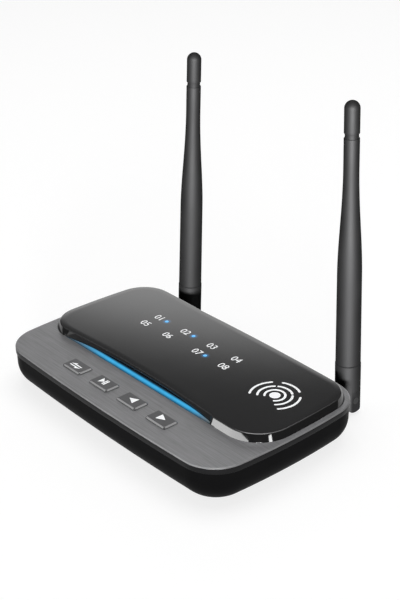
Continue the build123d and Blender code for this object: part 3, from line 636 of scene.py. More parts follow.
@dataclass(frozen=True)
class CopperWinding(Finish):
    """Flat spiral of enamelled wire: rings about the coil's middle."""

    middle: Place
    pitch: float = 0.34

    def build(self, nodes: Nodes) -> None:
        """The distance from the coil's middle, in turns, gives the gaps between the wires."""
        turn = nodes.math("SINE", nodes.product(nodes.reach(self.middle), 2 * math.pi / self.pitch))
        nodes.surface({
            "Base Color": nodes.tint(nodes.span(turn, -1, 0.2, (0, 1)), self.colour, 0.2, 1),
            "Roughness": nodes.drift(nodes.noise(1.5), 0.22, 0.38),
            "Metallic": 1.0,
            "Normal": nodes.bump(turn, 0.03),
        })


@dataclass(frozen=True)
class SolderMask(Finish):
    """Printed board: green mask over copper tracks."""

    track_pitch: float = 1.6

    def build(self, nodes: Nodes) -> None:
        """Cells with straight-sided metric give tracks, which stand a little proud of the laminate."""
        cells = {"Vector": nodes.place((1, 1, 0)), "Scale": 1 / self.track_pitch}
        settings = {"feature": "F1", "distance": "CHEBYCHEV"}
        cell = nodes.add("TexVoronoi", settings, cells).outputs["Distance"]
        track = nodes.span(cell, 0.34, 0.40, (0, 1), True)
        tone = nodes.tint(track, self.colour, 1, 2.1)
        dim = nodes.span(nodes.noise(6.0), 0.4, 0.8, (0, 0.4))
        nodes.surface({
            "Base Color": nodes.blend(dim, tone, shade(self.colour, 0.6)),
            "Roughness": nodes.drift(nodes.noise(3.0), 0.24, 0.34),
            "Normal": nodes.bump(track, 0.03),
        })


@dataclass(frozen=True)
class PianoBlack(Finish):
    """Gloss black acrylic that glows softly round the lit indicators, with painted shade on its bevelled
    sides.
    """

    lit: tuple[Place, ...]
    glow: Colour
    roughness: float = 0.06
    glow_reach: float = 2.2
    glow_strength: float = 0.5

    def build(self, nodes: Nodes) -> None:
        """The glow falls off smoothly with the distance from each lit indicator, on the top only; below the
        top the colour is a fifth as bright, which is painted shade.
        """
        level = nodes.span(nodes.axis(2), LEVELS.panel_top - 0.2, LEVELS.panel_top - 0.1, (0, 1))
        near = [
            nodes.math("POWER", nodes.span(nodes.reach(spot), 0.5, self.glow_reach, (1, 0)), 2.5)
            for spot in self.lit
        ]
        top = nodes.tint(nodes.noise(30.0), self.colour, 0.85, 1.15)
        nodes.surface({
            # Below the top the bevel and sides take a fifth of the colour: painted shade.
            "Base Color": nodes.blend(level, shade(self.colour, 0.2), top),
            "Roughness": nodes.drift(nodes.noise(12.0, 4), self.roughness * 0.85, self.roughness * 1.15),
            "IOR": 1.6,
            "Emission Color": (*self.glow, 1),
            "Emission Strength": nodes.product(nodes.total(*near), level, self.glow_strength),
            "Normal": nodes.bump(nodes.noise(14.0, 1), 0.004),
        })


@dataclass(frozen=True)
class LitStrip(Finish):
    """Diffusing strip lit from below: brightest along its middle and paler towards both ends."""

    core: Colour
    pale: Colour = (0.17, 0.21, 0.225)
    half_length: float = 46.0
    left_fade: Place = (-1.0, -0.42)
    right_fade: Place = (0.52, 0.77)
    front_run: float = 1.0
    core_span: Place = (1.3, 2.1)

    def build(self, nodes: Nodes) -> None:
        """Light dies away to both ends and, across the crescent's depth, to its front and back."""
        x, depth = nodes.axis(0), nodes.math("SUBTRACT", nodes.axis(1), LEVELS.panel_front)
        left, right = [[self.half_length * s for s in fade] for fade in (self.left_fade, self.right_fade)]
        length = nodes.product(nodes.span(x, *left, (0.1, 1), True), nodes.span(x, *right, (1, 0), True))
        front = nodes.span(depth, 0.0, self.front_run, (0.22, 1), True)
        cross = nodes.product(front, nodes.span(depth, *self.core_span, (1, 0), True))
        power = nodes.product(cross, nodes.drift(nodes.noise(3.0, 2), 0.94, 1.06), length)
        haze = nodes.product(cross, nodes.math("SUBTRACT", 1.0, length))
        nodes.surface({
            "Base Color": nodes.blend(haze, shade(self.colour, 0.04), self.pale),
            "Roughness": nodes.drift(nodes.noise(2.0), 0.25, 0.35),
            "Specular IOR Level": 0.2,
            "Emission Color": nodes.blend(power, self.colour, self.core),
            "Emission Strength": power,
        })


@dataclass(frozen=True)
class Glowing(Finish):
    """A lit lens."""

    def build(self, nodes: Nodes) -> None:
        """A fine noise keeps the light from looking flat."""
        nodes.surface({
            "Base Color": (*shade(self.colour, 0.4), 1),
            "Roughness": 0.3,
            "Emission Color": nodes.tint(nodes.noise(0.8), self.colour, 0.85, 1.15),
            "Emission Strength": 1.0,
        })


@dataclass(frozen=True)
class PrintedInk(Finish):
    """Screen-printed ink: slightly uneven cover, a dry surface and, where glow is set, a painted glow."""

    glow: float = 0.0

    def build(self, nodes: Nodes) -> None:
        """A fine noise thins the ink here and there."""
        cover = nodes.noise(0.18)
        nodes.surface({
            "Base Color": nodes.tint(nodes.span(cover, 0.3, 0.6, (0, 1)), self.colour, 0.88, 1),
            "Roughness": nodes.drift(cover, 0.42, 0.55),
            "Emission Color": (*self.colour, 1),
            # The glow is painted light: the ink gives off its own colour so that it reads whiter.
            "Emission Strength": self.glow,
            "Normal": nodes.bump(cover, 0.003),
        })


@dataclass(frozen=True)
class ClearPlastic(Finish):
    """Clear light guide."""

    def build(self, nodes: Nodes) -> None:
        """A faint noise in the gloss stands for moulding flow."""
        nodes.surface({
            "Base Color": (*self.colour, 1),
            "Roughness": nodes.drift(nodes.noise(0.8), 0.04, 0.12),
            "Transmission Weight": 0.85,
            "IOR": 1.49,
        })


COIL_MIDDLE: Place = (39.8, 10.2)
LIT_SPOTS: tuple[Place, ...] = ((-25.4, 16.9), (-10.0, 16.9), (3.7, 10.6))
DECK = BrushedMetal("brushed_deck", (0.2, 0.2, 0.205))
PANEL = PianoBlack("piano_black", (0.024, 0.024, 0.0245), LIT_SPOTS, (0.05, 0.35, 0.8))
STRIP = LitStrip("lit_strip", (0.03, 0.27, 0.52), (0.05, 0.41, 0.745))
DOT = Glowing("lit_dot", (0.08, 0.42, 0.85))
# The white ink glows at 0.35: painted light that lifts it to full white.
INK = PrintedInk("white_ink", (0.86, 0.87, 0.88), 0.35)
# The ninth value is painted shade: near black on the caps' sides, in the gap round each cap.
BUTTON = BrushedMetal(
    "button_metal", (0.085, 0.085, 0.088), 0.34, 0.5, 6.0, 0.16, 0.16, 0.002, (0.01, 0.01, 0.01),
    edge_colour=(0.5, 0.5, 0.505), edge_span=(15.68, 16.17), edge_polish=0.14,
)
RUBBER = MouldedPlastic("ring_rubber", (0.018, 0.018, 0.018), 0.8, 0.3, 0.35, 0.01, 0.2)
ANTENNA = SatinBlack("antenna_coat", (0.0125, 0.0125, 0.0127))
SOCKET = MouldedPlastic("socket_plastic", (0.018, 0.018, 0.019), 0.45)
SHUTTER = MouldedPlastic("shutter_plastic", (0.03, 0.03, 0.032), 0.5)
SLOT_FINISHES: dict[str, Finish] = {
    "shell_black": MouldedPlastic("shell_plastic", (0.004, 0.004, 0.0042), 0.45, 0.015, 0.3, 0.006),
    "deck_grey": DECK,
    "panel_gloss": PANEL,
    "light_bar_blue": STRIP,
    "clear_guide": ClearPlastic("clear_guide_plastic", (0.9, 0.95, 1.0)),
    "baffle_black": MouldedPlastic("baffle_plastic", (0.015, 0.015, 0.015), 0.7),
    "ferrite": MouldedPlastic("ferrite_sheet", (0.03, 0.03, 0.032), 0.62, 0.4, 0.5, 0.01, 0.3),
    "copper": CopperWinding("copper_winding", (0.72, 0.36, 0.2), COIL_MIDDLE),
    "base_rubber": RUBBER,
    "button_grey": BUTTON,
    "plunger_black": MouldedPlastic("plunger_plastic", (0.02, 0.02, 0.02), 0.5),
    "switch_black": MouldedPlastic("switch_plastic", (0.03, 0.03, 0.03), 0.5),
    "board_green": SolderMask("solder_mask", (0.01, 0.1, 0.045)),
    "tinned_steel": PlatedMetal("tin_plate", (0.62, 0.62, 0.6)),
    "chip_black": MouldedPlastic("chip_epoxy", (0.02, 0.02, 0.022), 0.6),
    "can_aluminium": PlatedMetal("aluminium_can", (0.75, 0.75, 0.74), 0.25),
    "crystal_steel": PlatedMetal("nickel_plate", (0.6, 0.6, 0.6), 0.2),
    "led_white": PrintedInk("led_lens", (0.85, 0.85, 0.75)),
    "socket_black": SOCKET,
    "shutter_grey": SHUTTER,
    "screw_steel": PlatedMetal("black_nickel", (0.35, 0.35, 0.36), 0.28),
    "lead_jacket": MouldedPlastic("lead_jacket_plastic", (0.03, 0.03, 0.03), 0.35),
    "plug_brass": PlatedMetal("gold_flash", (0.75, 0.6, 0.3), 0.22),
    "antenna_black": ANTENNA,
    "pin_steel": PlatedMetal("blackened_steel", (0.05, 0.05, 0.05), 0.4),
    "radiator_brass": PlatedMetal("plain_brass", (0.7, 0.55, 0.28), 0.3),
}


# ---------------------------------------- plan curves of the housing


@dataclass(frozen=True)
class HousingPlan:
    """Plan of the housing: four gently bowed sides with round corners, and the panel cut from it."""

    half_x: float = 45.4
    half_y: float = 21.1
    corner: float = 13.6
    side_bow: float = 0.83
    front_bow: float = 0.91
    corner_steps: int = 28
    side_steps: int = 24
    front_steps: int = 160
    panel_margin: float = 1.9
    panel_corner: float = 14.0
    left_margin: float = 0.7
    left_corner: float = 12.0
    left_span: Place = (-48.0, -20.0)

    def bow(self, half: float, rise: float) -> Place:
        """Radius of a side's arc from its half length and rise, and half of the angle it turns."""
        radius = (half**2 + rise**2) / (2 * rise)
        return radius, math.degrees(math.asin(half / radius))

    def outline(
        self, margin: float = 0.0, front_y: float | None = None, front_corner: float = 0.0
    ) -> PlanCurve:
        """The housing's outline moved inwards, and cut straight at the front where front_y is given.

        Each side is an arc, and each corner an arc about the corner of the plan's half sizes.

        Args:
            margin: Distance inwards from the housing's outline.
            front_y: Level of the straight front, or None for the bowed one.
            front_corner: Radius of the corners between the straight front and the sides.

        Returns:
            The curve, counter-clockwise from the left end of the front, with the same number of
            points for any margin and front.
        """
        side_radius, side_turn = self.bow(self.half_y, self.side_bow)
        front_radius, front_turn = self.bow(self.half_x, self.front_bow)
        grow = self.corner - margin
        side_x = self.half_x + self.side_bow - side_radius
        front_centre, front_reach = self.half_y + self.front_bow - front_radius, front_radius + grow
        if front_y is None:
            low, corner_x, corner_y, radius = -side_turn, self.half_x, -self.half_y, grow
            start = front_turn - 90
            front = arc_run((0, -front_centre), front_reach, -90 - front_turn, start, self.front_steps)
        else:
            radius, corner_y, start = front_corner, front_y + front_corner, -90.0
            corner_x = side_x + math.sqrt((side_radius + grow - radius) ** 2 - corner_y**2)
            low = math.degrees(math.atan2(corner_y, corner_x - side_x))
            front = line_run((-corner_x, front_y), (corner_x, front_y), self.front_steps)
        rear = 90 - front_turn
        return PlanCurve.join(
            front,
            arc_run((corner_x, corner_y), radius, start, low, self.corner_steps),
            arc_run((side_x, 0), side_radius + grow, low, side_turn, self.side_steps),
            arc_run((self.half_x, self.half_y), grow, side_turn, rear, self.corner_steps),
            arc_run((0, front_centre), front_reach, rear, 180 - rear, self.front_steps),
            arc_run((-self.half_x, self.half_y), grow, 180 - rear, 180 - side_turn, self.corner_steps),
            arc_run((-side_x, 0), side_radius + grow, 180 - side_turn, 180 - low, self.side_steps),
            arc_run((-corner_x, corner_y), radius, 180 - low, 180 - start, self.corner_steps),
        )

    def panel(self) -> PlanCurve:
        """The display panel's outline, which comes closer to the edge at its left end.

        Two outlines with equal counts of points, mixed by a smooth step of x.
        """
        right = self.outline(self.panel_margin, LEVELS.panel_front, self.panel_corner)
        left = self.outline(self.left_margin, LEVELS.panel_front, self.left_corner)
        low, high = self.left_span
        share = smooth_step(np.clip((high - right.points[:, :1]) / (high - low), 0, 1))
        normals = right.normals + share * (left.normals - right.normals)
        normals /= np.linalg.norm(normals, axis=1, keepdims=True)
        return PlanCurve(right.points + share * (left.points - right.points), normals)


PLAN = HousingPlan()


# ---------------------------------------- deck


@dataclass
class Deck:
    """Brushed top plate with a folded skirt, a pocket for the panel and openings for the buttons."""

    skirt_wall: float = 1.4
    underside_run: float = 3.0
    top_run: float = 1.0
    chamfer: float = 0.35
    fold_radius: float = 0.1
    edge_radius: float = 0.12
    button_flare: float = 0.12
    panel_gap: float = 0.3
    cut_above: float = 1.0
    cut_below: float = 3.0
    hole_corner: float = 0.2
    holes: tuple[tuple[Place, Place], ...] = (((-3.55, 13.75), (48.5, 11.3)), ((0.0, -13.9), (82.2, 1.6)))
    pin_places: tuple[Place, ...] = ((-50, -8.5), (50, -8.5), (-50, 25.5), (50, 25.5))
    pin_hole: float = 1.1
    pin_hole_bottom: float = 12.0
    post_places: tuple[Place, ...] = ((-48, -19.5), (48, -19.5), (-48, 19.5), (48, 19.5))
    post_radius: float = 2.8
    post_bore: float = 1.15
    post_bottom: float = 9.4
    post_root: float = 0.2
    post_bore_roof: float = 2.4

    def plate(self) -> Piece:
        """The plate and skirt: a profile of insets and heights carried round the housing's outline."""
        wall, top = self.skirt_wall, LEVELS.deck_top
        under, bottom = LEVELS.deck_underside, LEVELS.skirt_bottom
        corners = [
            (wall + self.underside_run, under), (wall, under), (wall, bottom), (0, bottom),
            (0, top - self.chamfer), (self.chamfer, top), (self.chamfer + self.top_run, top),
        ]
        path = rounded_path(corners, [self.fold_radius] * 2 + [self.edge_radius] * 3)
        return skin("deck_plate", PLAN.outline().wall(path))

    def cutters(self, buttons: ButtonRow) -> list[Piece]:
        """Cutters for the panel's pocket, the buttons' flared openings, the holes and the pin holes."""
        top, floor = LEVELS.deck_top, LEVELS.pocket_floor
        above, below = top + self.cut_above, top - self.cut_below
        gap, flared = buttons.gap, buttons.gap + self.button_flare
        opening = [(-gap, below), (-gap, top - self.button_flare), (-flared, top), (-flared, above)]
        tools = [skin("tool", PLAN.panel().wall([(-self.panel_gap, floor), (-self.panel_gap, above)]))]
        tools += [skin("tool", buttons.outline(place).wall(opening)) for place in buttons.places()]
        for middle, size in self.holes:
            hole = rounded_rectangle(middle, *size, self.hole_corner)
            tools.append(skin("tool", hole.wall([(0, floor - self.cut_below), (0, above)])))
        for place in self.pin_places:
            ring = circle_curve(place, self.pin_hole, 32)
            tools.append(prism("tool", ring.points, self.pin_hole_bottom, top))
        return tools

    def build(self, buttons: ButtonRow) -> None:
        """Cuts the plate, adds its bored screw posts and dresses it."""
        plate = self.plate()
        shape_with(plate, self.cutters(buttons), Cut.AWAY)
        top, bore = LEVELS.deck_underside + self.post_root, self.post_radius - self.post_bore
        loop = [(0, top), (0, self.post_bottom), (bore, self.post_bottom), (bore, top - self.post_bore_roof)]
        rings = [circle_curve(place, self.post_radius, 48) for place in self.post_places]
        shape_with(plate, [skin("tool", ring.wall(loop)) for ring in rings], Cut.ONTO)
        dress(plate, "housing", DECK, "top_deck")


# ---------------------------------------- display panel and light strip


@dataclass
class DisplayPanel:
    """Gloss panel with bevelled sides, hollow below, cut back behind the light strip."""

    bevel: float = 1.15
    foot_radius: float = 0.12
    crest_radius: float = 0.55
    crown_run: float = 2.6
    front_facing: float = -0.999
    hollow_margin: float = 5.1
    hollow_front: float = -11.1
    hollow_corner: float = 8.0
    strip_depth: float = 2.5
    strip_gap: float = 0.1
    strip_lengths: Place = (46.4, 44.0)
    strip_powers: Place = (2.5, 2.0)
    strip_start: float = -46.05
    strip_end: float = 35.6
    strip_end_run: float = 1.2
    strip_rise: float = 1.1
    strip_least_depth: float = 0.004
    strip_edge_drop: float = 0.1
    strip_shares: tuple[float, ...] = (0, 0, 0.03, 0.1, 0.25, 0.5, 0.75, 0.9, 0.97, 1, 1)
    rib_half_length: float = 41.0
    rib_bottom: float = 6.0
    rib_span: Place = (-14.6, -13.2)
    rib_corner: float = 0.3
    rib_root: float = 0.3
    pin_radius: float = 1.0
    pin_bottom: float = 12.4
    pin_root: float = 0.2
    numeral_height: float = 3.0
    numeral_depth: float = 1.4 * LEVELS.ink_height
    numeral_lift: float = 0.3 * LEVELS.ink_height
    numeral_places: tuple[Place, ...] = (
        (-29.8, 16.9), (-14.4, 16.9), (0.2, 16.9), (13.4, 16.9),
        (-29.8, 10.4), (-16.9, 10.4), (-0.3, 10.4), (13.7, 10.4),
    )
    dot_radius: float = 0.8
    dot_dome: float = 0.08
    dot_sink: float = 0.02
    dot_root: float = 0.1
    mark_dot: float = 1.9
    mark_radii: tuple[float, ...] = (3.5, 5.9, 8.6)
    mark_spread: float = 6.0
    mark_line: float = 0.8

    def strip_back(self, x: Array) -> Array:
        """Depth of the crescent behind the panel's front line at each x, zero past its ends.

        depth * (1 - (|x| / length)^n), with a length and a power n for each half, closed early at
        the right by a smooth step.
        """
        share = np.abs(x) / np.where(x < 0, *self.strip_lengths)
        curve = 1 - share ** np.where(x < 0, *self.strip_powers)
        end = np.clip((self.strip_end - x) / self.strip_end_run, 0, 1)
        return self.strip_depth * np.clip(curve, 0, None) * smooth_step(end)

    def build_panel(self, deck: Deck) -> None:
        """The panel: bevelled wall outside, hollow inside, pins below.

        Rings run from the hollow's roof down its inner wall, under the wall and up the bevelled
        outside to the top. Behind the crescent the wall starts at its depth n and leans from there
        to sqrt(bevel^2 + n^2) at the top, so that it is steepest where the crescent is deepest.
        """
        outer = PLAN.panel()
        inner = PLAN.outline(self.hollow_margin, self.hollow_front, self.hollow_corner)
        floor, base, top = LEVELS.pocket_floor, LEVELS.deck_top, LEVELS.panel_top
        corners = [(0, floor), (0, base), (self.bevel, top), (self.bevel + self.crown_run, top)]
        path = rounded_path(corners, [self.foot_radius, self.crest_radius], 9)
        back = self.strip_back(outer.points[:, 0])
        notch = np.where((outer.normals[:, 1] < self.front_facing) & (back > 0), back + self.strip_gap, 0)
        rise = np.clip((path[:, 1:] - base) / (top - base), 0, 1)
        rounding = np.clip(path[:, :1] - self.bevel * rise, 0, None)
        leaning = notch + (np.hypot(self.bevel, notch) - notch) * rise
        wall = outer.wall(path * [0, 1], leaning + rounding)
        ceiling = LEVELS.panel_ceiling
        panel = skin("gloss_panel", np.concatenate([inner.wall([(0, ceiling), (0, floor)]), wall]))
        rings = [circle_curve(place, self.pin_radius, 32) for place in deck.pin_places]
        pins = [prism("tool", ring.points, self.pin_bottom, ceiling + self.pin_root) for ring in rings]
        shape_with(panel, pins, Cut.ONTO)
        dress(panel, "housing", PANEL, "display_panel")

    def build_strip(self) -> None:
        """The light strip: a crescent section carried along X, with the rib that drinks its light.

        At each x the section runs from the front line to the crescent's back, with a top that
        rises backwards and is rounded over its front and rear edges.
        """
        x = np.linspace(self.strip_start, self.strip_end, 161)
        depth = self.strip_back(x)[:, None] + self.strip_least_depth
        share = np.array(self.strip_shares)[None]
        drop = self.strip_edge_drop * np.abs(2 * share - 1) ** 6
        z = LEVELS.deck_top + self.strip_rise / self.strip_depth * depth * share - drop
        z[:, [0, -1]] = LEVELS.pocket_floor
        y = LEVELS.panel_front + depth * share
        strip = skin("light_strip", np.stack([np.broadcast_to(x[:, None], y.shape), y, z], axis=2))
        front, back = self.rib_span
        middle, length = (0, (front + back) / 2), 2 * self.rib_half_length
        outline = rounded_rectangle(middle, length, back - front, self.rib_corner).points
        rib = prism("tool", outline, self.rib_bottom, LEVELS.pocket_floor + self.rib_root)
        shape_with(strip, [rib], Cut.ONTO)
        dress(strip, "housing", STRIP, "light_bar")

    def build_numerals(self) -> None:
        """Two-figure numbers beside the indicators, as thin printed shapes on the panel."""
        for number, place in enumerate(self.numeral_places, 1):
            curve = bpy.data.curves.new("figures", "FONT")
            curve.body, curve.align_x, curve.align_y = f"{number:02d}", "CENTER", "CENTER"
            curve.resolution_u, curve.extrude = 4, 0.5
            text = new_object("figures", curve)
            bpy.context.view_layer.update()
            graph = bpy.context.evaluated_depsgraph_get()
            mesh = bpy.data.meshes.new_from_object(text.evaluated_get(graph))
            bpy.data.objects.remove(text)
            points = np.zeros(len(mesh.vertices) * 3)
            mesh.vertices.foreach_get("co", points)
            points = points.reshape(-1, 3)
            low, high = points.min(0), points.max(0)
            scale = self.numeral_height / (high[1] - low[1])
            places = (points - (low + high) / 2) * [scale, scale, self.numeral_depth]
            places += [*place, LEVELS.panel_top + self.numeral_lift]
            mesh.vertices.foreach_set("co", (places * MM).ravel())
            mesh.name = f"numeral_{number:02d}"
            tidy_mesh(mesh)
            dress(new_object(mesh.name, mesh), "housing", INK)

    def build_dots(self) -> None:
        """Low lenses over the three lit indicators: height dome * (1 - (r / R)^2)."""
        top = LEVELS.panel_top
        radius = np.linspace(self.dot_radius, 0, 6)
        height = top - self.dot_sink + self.dot_dome * (1 - (radius / self.dot_radius) ** 2)
        dome = np.stack([radius, height], axis=1)
        profile = np.concatenate([[(self.dot_radius, top - self.dot_root)], dome])
        for number, (x, y) in enumerate(LIT_SPOTS, 1):
            axes = (np.array([x, y, 0.0]), np.array([0, 0, 1.0]), np.array([1.0, 0, 0]))
            dress(lathe(f"lit_lens_{number}", profile, axes, 24), "housing", DOT)

    def arc_stroke(self, radius: float, start: float, end: float) -> Array:
        """Outline of a line bent to an arc, with round ends.

        Args:
            radius: Radius of the line's middle.
            start: First angle in degrees.
            end: Last angle in degrees.

        Returns:
            Points about the mark's middle.
        """
        half = self.mark_line / 2
        spoke = directions(np.linspace(start, end, 40))
        cap = np.linspace(0, 180, 9)[1:-1]
        far = radius * spoke[-1] + half * directions(end + cap)
        near = radius * spoke[0] - half * directions(start + cap)
        return np.concatenate([(radius + half) * spoke, far, (radius - half) * spoke[::-1], near])

    def build_mark(self) -> None:
        """Round ripple mark over the coil: a dot with three arcs on each of three sides."""
        print_ink("mark_dot", circle_curve(COIL_MIDDLE, self.mark_dot, 40).points, LEVELS.panel_top)
        for side, (start, end) in {"left": (143, 217), "right": (-37, 37), "rear": (62, 118)}.items():
            for ring, radius in enumerate(self.mark_radii, 1):
                spread = self.mark_spread * (len(self.mark_radii) - ring)
                outline = np.asarray(COIL_MIDDLE) + self.arc_stroke(radius, start - spread, end + spread)
                print_ink(f"mark_{side}_arc_{ring}", outline, LEVELS.panel_top)


# ---------------------------------------- buttons


class Icon(Enum):
    """What is printed on a button's cap, by the button's name."""

    SWAP = "mode"
    PLAY_PAUSE = "play"
    PREVIOUS = "previous"
    NEXT = "next"

    def outlines(self) -> list[Array]:
        """The icon's closed outlines about the cap's middle."""
        arrow = np.array([(-2.7, -0.27), (-2.7, -0.76), (0.6, -0.76), (0.6, -1.45), (2.7, -0.27)])
        triangle = np.array([(1.6, 0), (-1.6, 1.6), (-1.6, -1.6)])
        bar = np.array([(-0.25, -1.45), (0.25, -1.45), (0.25, 1.45), (-0.25, 1.45)])
        return {
            Icon.SWAP: [arrow + [-0.25, -0.5], -arrow + [-0.25, -0.5]],
            Icon.PLAY_PAUSE: [triangle * [0.58, 0.95] + [-1.2, 0.3], bar + [0.1, 0.3], bar + [0.9, 0.3]],
            Icon.PREVIOUS: [-triangle + [-0.1, 0.3]],
            Icon.NEXT: [triangle + [0, 0.35]],
        }[self]


@dataclass
class ButtonRow:
    """Four rectangular push buttons with bevelled tops and printed icons."""

    pitch: float = 15.67
    row_y: float = -25.3
    cap_shift: Place = (-0.45, 0.15)
    length: float = 10.2
    width: float = 6.25
    corner: float = 0.85
    gap: float = 0.42
    bevel: float = 0.55
    crown_run: float = 0.2
    edge_radius: float = 0.08
    flange: float = 0.9
    flange_bottom: float = 13.0
    flange_top: float = 13.8
    stem_radius: float = 1.6
    stem_bottom: float = 9.1
    side_steps: int = 8

    def stem_places(self) -> list[Place]:
        """Middles of the four stems."""
        return [((i - 1.5) * self.pitch, self.row_y) for i in range(len(Icon))]

    def places(self) -> list[Place]:
        """Middles of the four caps."""
        right, back = self.cap_shift
        return [(x + right, y + back) for x, y in self.stem_places()]

    def outline(self, middle: Place) -> PlanCurve:
        """A cap's outline."""
        return rounded_rectangle(middle, self.length, self.width, self.corner, self.side_steps)

    def cap(self, name: str, middle: Place, stem_middle: Place) -> Piece:
        """One cap: stem, flange and bevelled top, as rings of a circle and of a rounded rectangle."""
        body, top = self.outline(middle), LEVELS.button_top
        stem = circle_curve(stem_middle, self.stem_radius, len(body.points))
        stem.points = np.roll(stem.points, -self.side_steps, axis=0)
        corners = [
            (-self.flange, self.flange_bottom), (-self.flange, self.flange_top), (0, self.flange_top),
            (0, top - self.bevel), (self.bevel, top), (self.bevel + self.crown_run, top),
        ]
        path = rounded_path(corners, [0, 0, self.edge_radius, self.edge_radius])
        legs = stem.wall([(0, self.stem_bottom), (0, self.flange_bottom)])
        return skin(name, np.concatenate([legs, body.wall(path)]))

    def build(self) -> None:
        """Makes the caps and their icons."""
        for icon, middle, stem in zip(Icon, self.places(), self.stem_places()):
            body = f"{icon.value}_button"
            dress(self.cap(f"{icon.value}_cap", middle, stem), body, BUTTON, f"{body}_cap")
            for part, outline in enumerate(icon.outlines(), 1):
                print_ink(f"{icon.value}_icon_{part}", outline + np.asarray(middle), LEVELS.button_top, body)


# ---------------------------------------- base ring


@dataclass
class BaseRing:
    """One-piece rubber ring that the housing stands on."""

    length: float = 86.0
    width: float = 54.0
    corner: float = 9.0
    band: float = 4.0
    top: float = 1.4
    edge: float = 0.3
    edge_radius: float = 0.2

    def build(self) -> None:
        """The ring's section carried round its outline, closed on itself."""
        plan = rounded_rectangle((0, 0), self.length, self.width, self.corner, 16)
        band, top, edge, radius = self.band, self.top, self.edge, self.edge_radius
        corners = [(band, top), (band, edge), (band - edge, 0), (band / 2, 0), (edge, 0), (0, edge), (0, top)]
        section = rounded_path(corners, [radius, radius, 0, radius, radius])
        dress(skin("rubber_ring", plan.wall(section), True), "housing", RUBBER, "rubber_base_ring")


# ---------------------------------------- antennas


@dataclass
class Antenna:
    """One hinged antenna: sleeve and tip turned about the mast's axis, knuckle and foot from CAD."""

    name: str
    side: int
    shift: float
    reach: float = 107.7
    pivot: Point = (43.0, 42.6, 5.5)
    base_radius: float = 4.38
    base_height: float = 14.0
    seam: float = 0.2
    waist: Place = (4.2, 46.5)
    neck: Place = (2.62, 86.0)
    pulls: Place = (13.2, 15.8)
    top: float = 95.3
    bore: float = 1.9
    bore_lip: float = 0.05
    spigot: Place = (3.0, 17.0)
    groove_radius: float = 2.3
    groove_height: float = 1.6
    groove_run: float = 1.0
    tip_radius: float = 2.6
    plug_length: float = 4.0
    copy_rounding: float = 0.12
    steps: int = 96

    def axes(self) -> tuple[Array, Array, Array]:
        """The mast's pivot, its direction and the hinge pin's direction, both units."""
        lean = math.asin(self.shift / self.reach)
        mast, pin = [(math.sin(a), 0, math.cos(a)) for a in (lean, lean + math.pi / 2)]
        return np.array(self.pivot) * [self.side, 1, 1], np.array(mast), np.array(pin)

    def sleeve_profile(self) -> Array:
        """Radius by height: straight to the waist, then a cubic curve in to the neck.

        The cubic has its pulls along the axis at both ends, so the sleeve narrows without a kink.
        """
        t = np.linspace(0, 1, 40)[:, None]
        start, end, bore, top = np.array(self.waist), np.array(self.neck), self.bore, self.top
        first, second = start + [0, self.pulls[0]], end - [0, self.pulls[1]]
        taper = (1 - t) ** 3 * start + 3 * (1 - t) ** 2 * t * first + 3 * (1 - t) * t**2 * second + t**3 * end
        base, height, seam = self.base_radius, self.base_height, self.seam
        corners = [
            (bore, top), (bore, self.spigot[1]), self.spigot, (self.spigot[0], height),
            (base - seam, height), (base, height + seam), self.waist,
        ]
        foot = rounded_path(corners, [0, 0, 0, 0.1, 0.15])
        mouth = [self.neck, (self.neck[0], top), (bore + self.bore_lip, top), (bore, top)]
        return np.concatenate([foot[:-1], taper, rounded_path(mouth, [0.15, 0])[1:-1]])

    def tip_profile(self) -> Array:
        """Radius by height: plug, neck groove and a round end."""
        dome = self.tip_radius * directions(np.linspace(0, 90, 14)) + [0, self.reach - self.tip_radius]
        dome[-1, 0] = 0.0
        bottom, groove_top = self.top - self.plug_length, self.top + self.groove_height
        corners = [
            (0, bottom), (self.bore, bottom), (self.bore, self.top), (self.groove_radius, self.top),
            (self.groove_radius, groove_top), (self.tip_radius, groove_top),
            (self.tip_radius, groove_top + self.groove_run),
        ]
        return np.concatenate([rounded_path(corners, [0, 0, 0, 0.1, 0.12]), dome])

    def build(self) -> None:
        """Turns the sleeve and the tip, and rounds the CAD's knuckle and foot."""
        body, axes = f"{self.name}_antenna", self.axes()
        sleeve = lathe(f"{body}_mast", self.sleeve_profile(), axes, self.steps, True)
        tip = lathe(f"{body}_tip", self.tip_profile(), axes, self.steps)
        copies = [rounded_copy(f"{body}_{part}", self.copy_rounding) for part in ("knuckle", "swivel_foot")]
        knuckle, foot = copies
        for piece, part in ((sleeve, "sleeve"), (tip, "tip_cap"), (knuckle, "knuckle")):
            dress(piece, body, ANTENNA, f"{body}_{part}")
        dress(foot, f"{self.name}_swivel", ANTENNA, f"{body}_swivel_foot")
        inside = [frame["nodes"][f"{body}_{part}"] for part in ("radiator", "hinge_pin")]
        for piece in (sleeve, tip, knuckle, *inside):
            piece.visible_glossy = False


# ---------------------------------------- sockets and inside


@dataclass
class RearSockets:
    """Optical sockets with their shutters, and the two jacks."""

    ways: tuple[str, ...] = ("input", "output")
    jacks: tuple[str, ...] = ("line_in_jack", "line_out_jack")
    edge: float = 0.12
    shutter_edge: float = 0.08

    def build(self) -> None:
        """Rounds the CAD's sockets and shutters."""
        for way in self.ways:
            socket, shutter = f"optical_{way}_socket", f"optical_{way}_shutter"
            dress(rounded_copy(socket, self.edge), "housing", SOCKET, socket)
            dress(rounded_copy(shutter, self.shutter_edge), f"{way}_shutter", SHUTTER, shutter)
        for jack in self.jacks:
            dress(rounded_copy(jack, self.edge), "housing", SOCKET, jack)


def dress_frame() -> None:
    """Gives every CAD node that still shows the finish of its own material slot."""
    for name, node in sorted(frame["nodes"].items()):
        for place in node.material_slots:
            slot = place.material.name.split(".")[0]
            if slot in SLOT_FINISHES:
                place.material = SLOT_FINISHES[slot].material()
                log.info("%s takes the finish of %s", name, slot)


# ---------------------------------------- studio


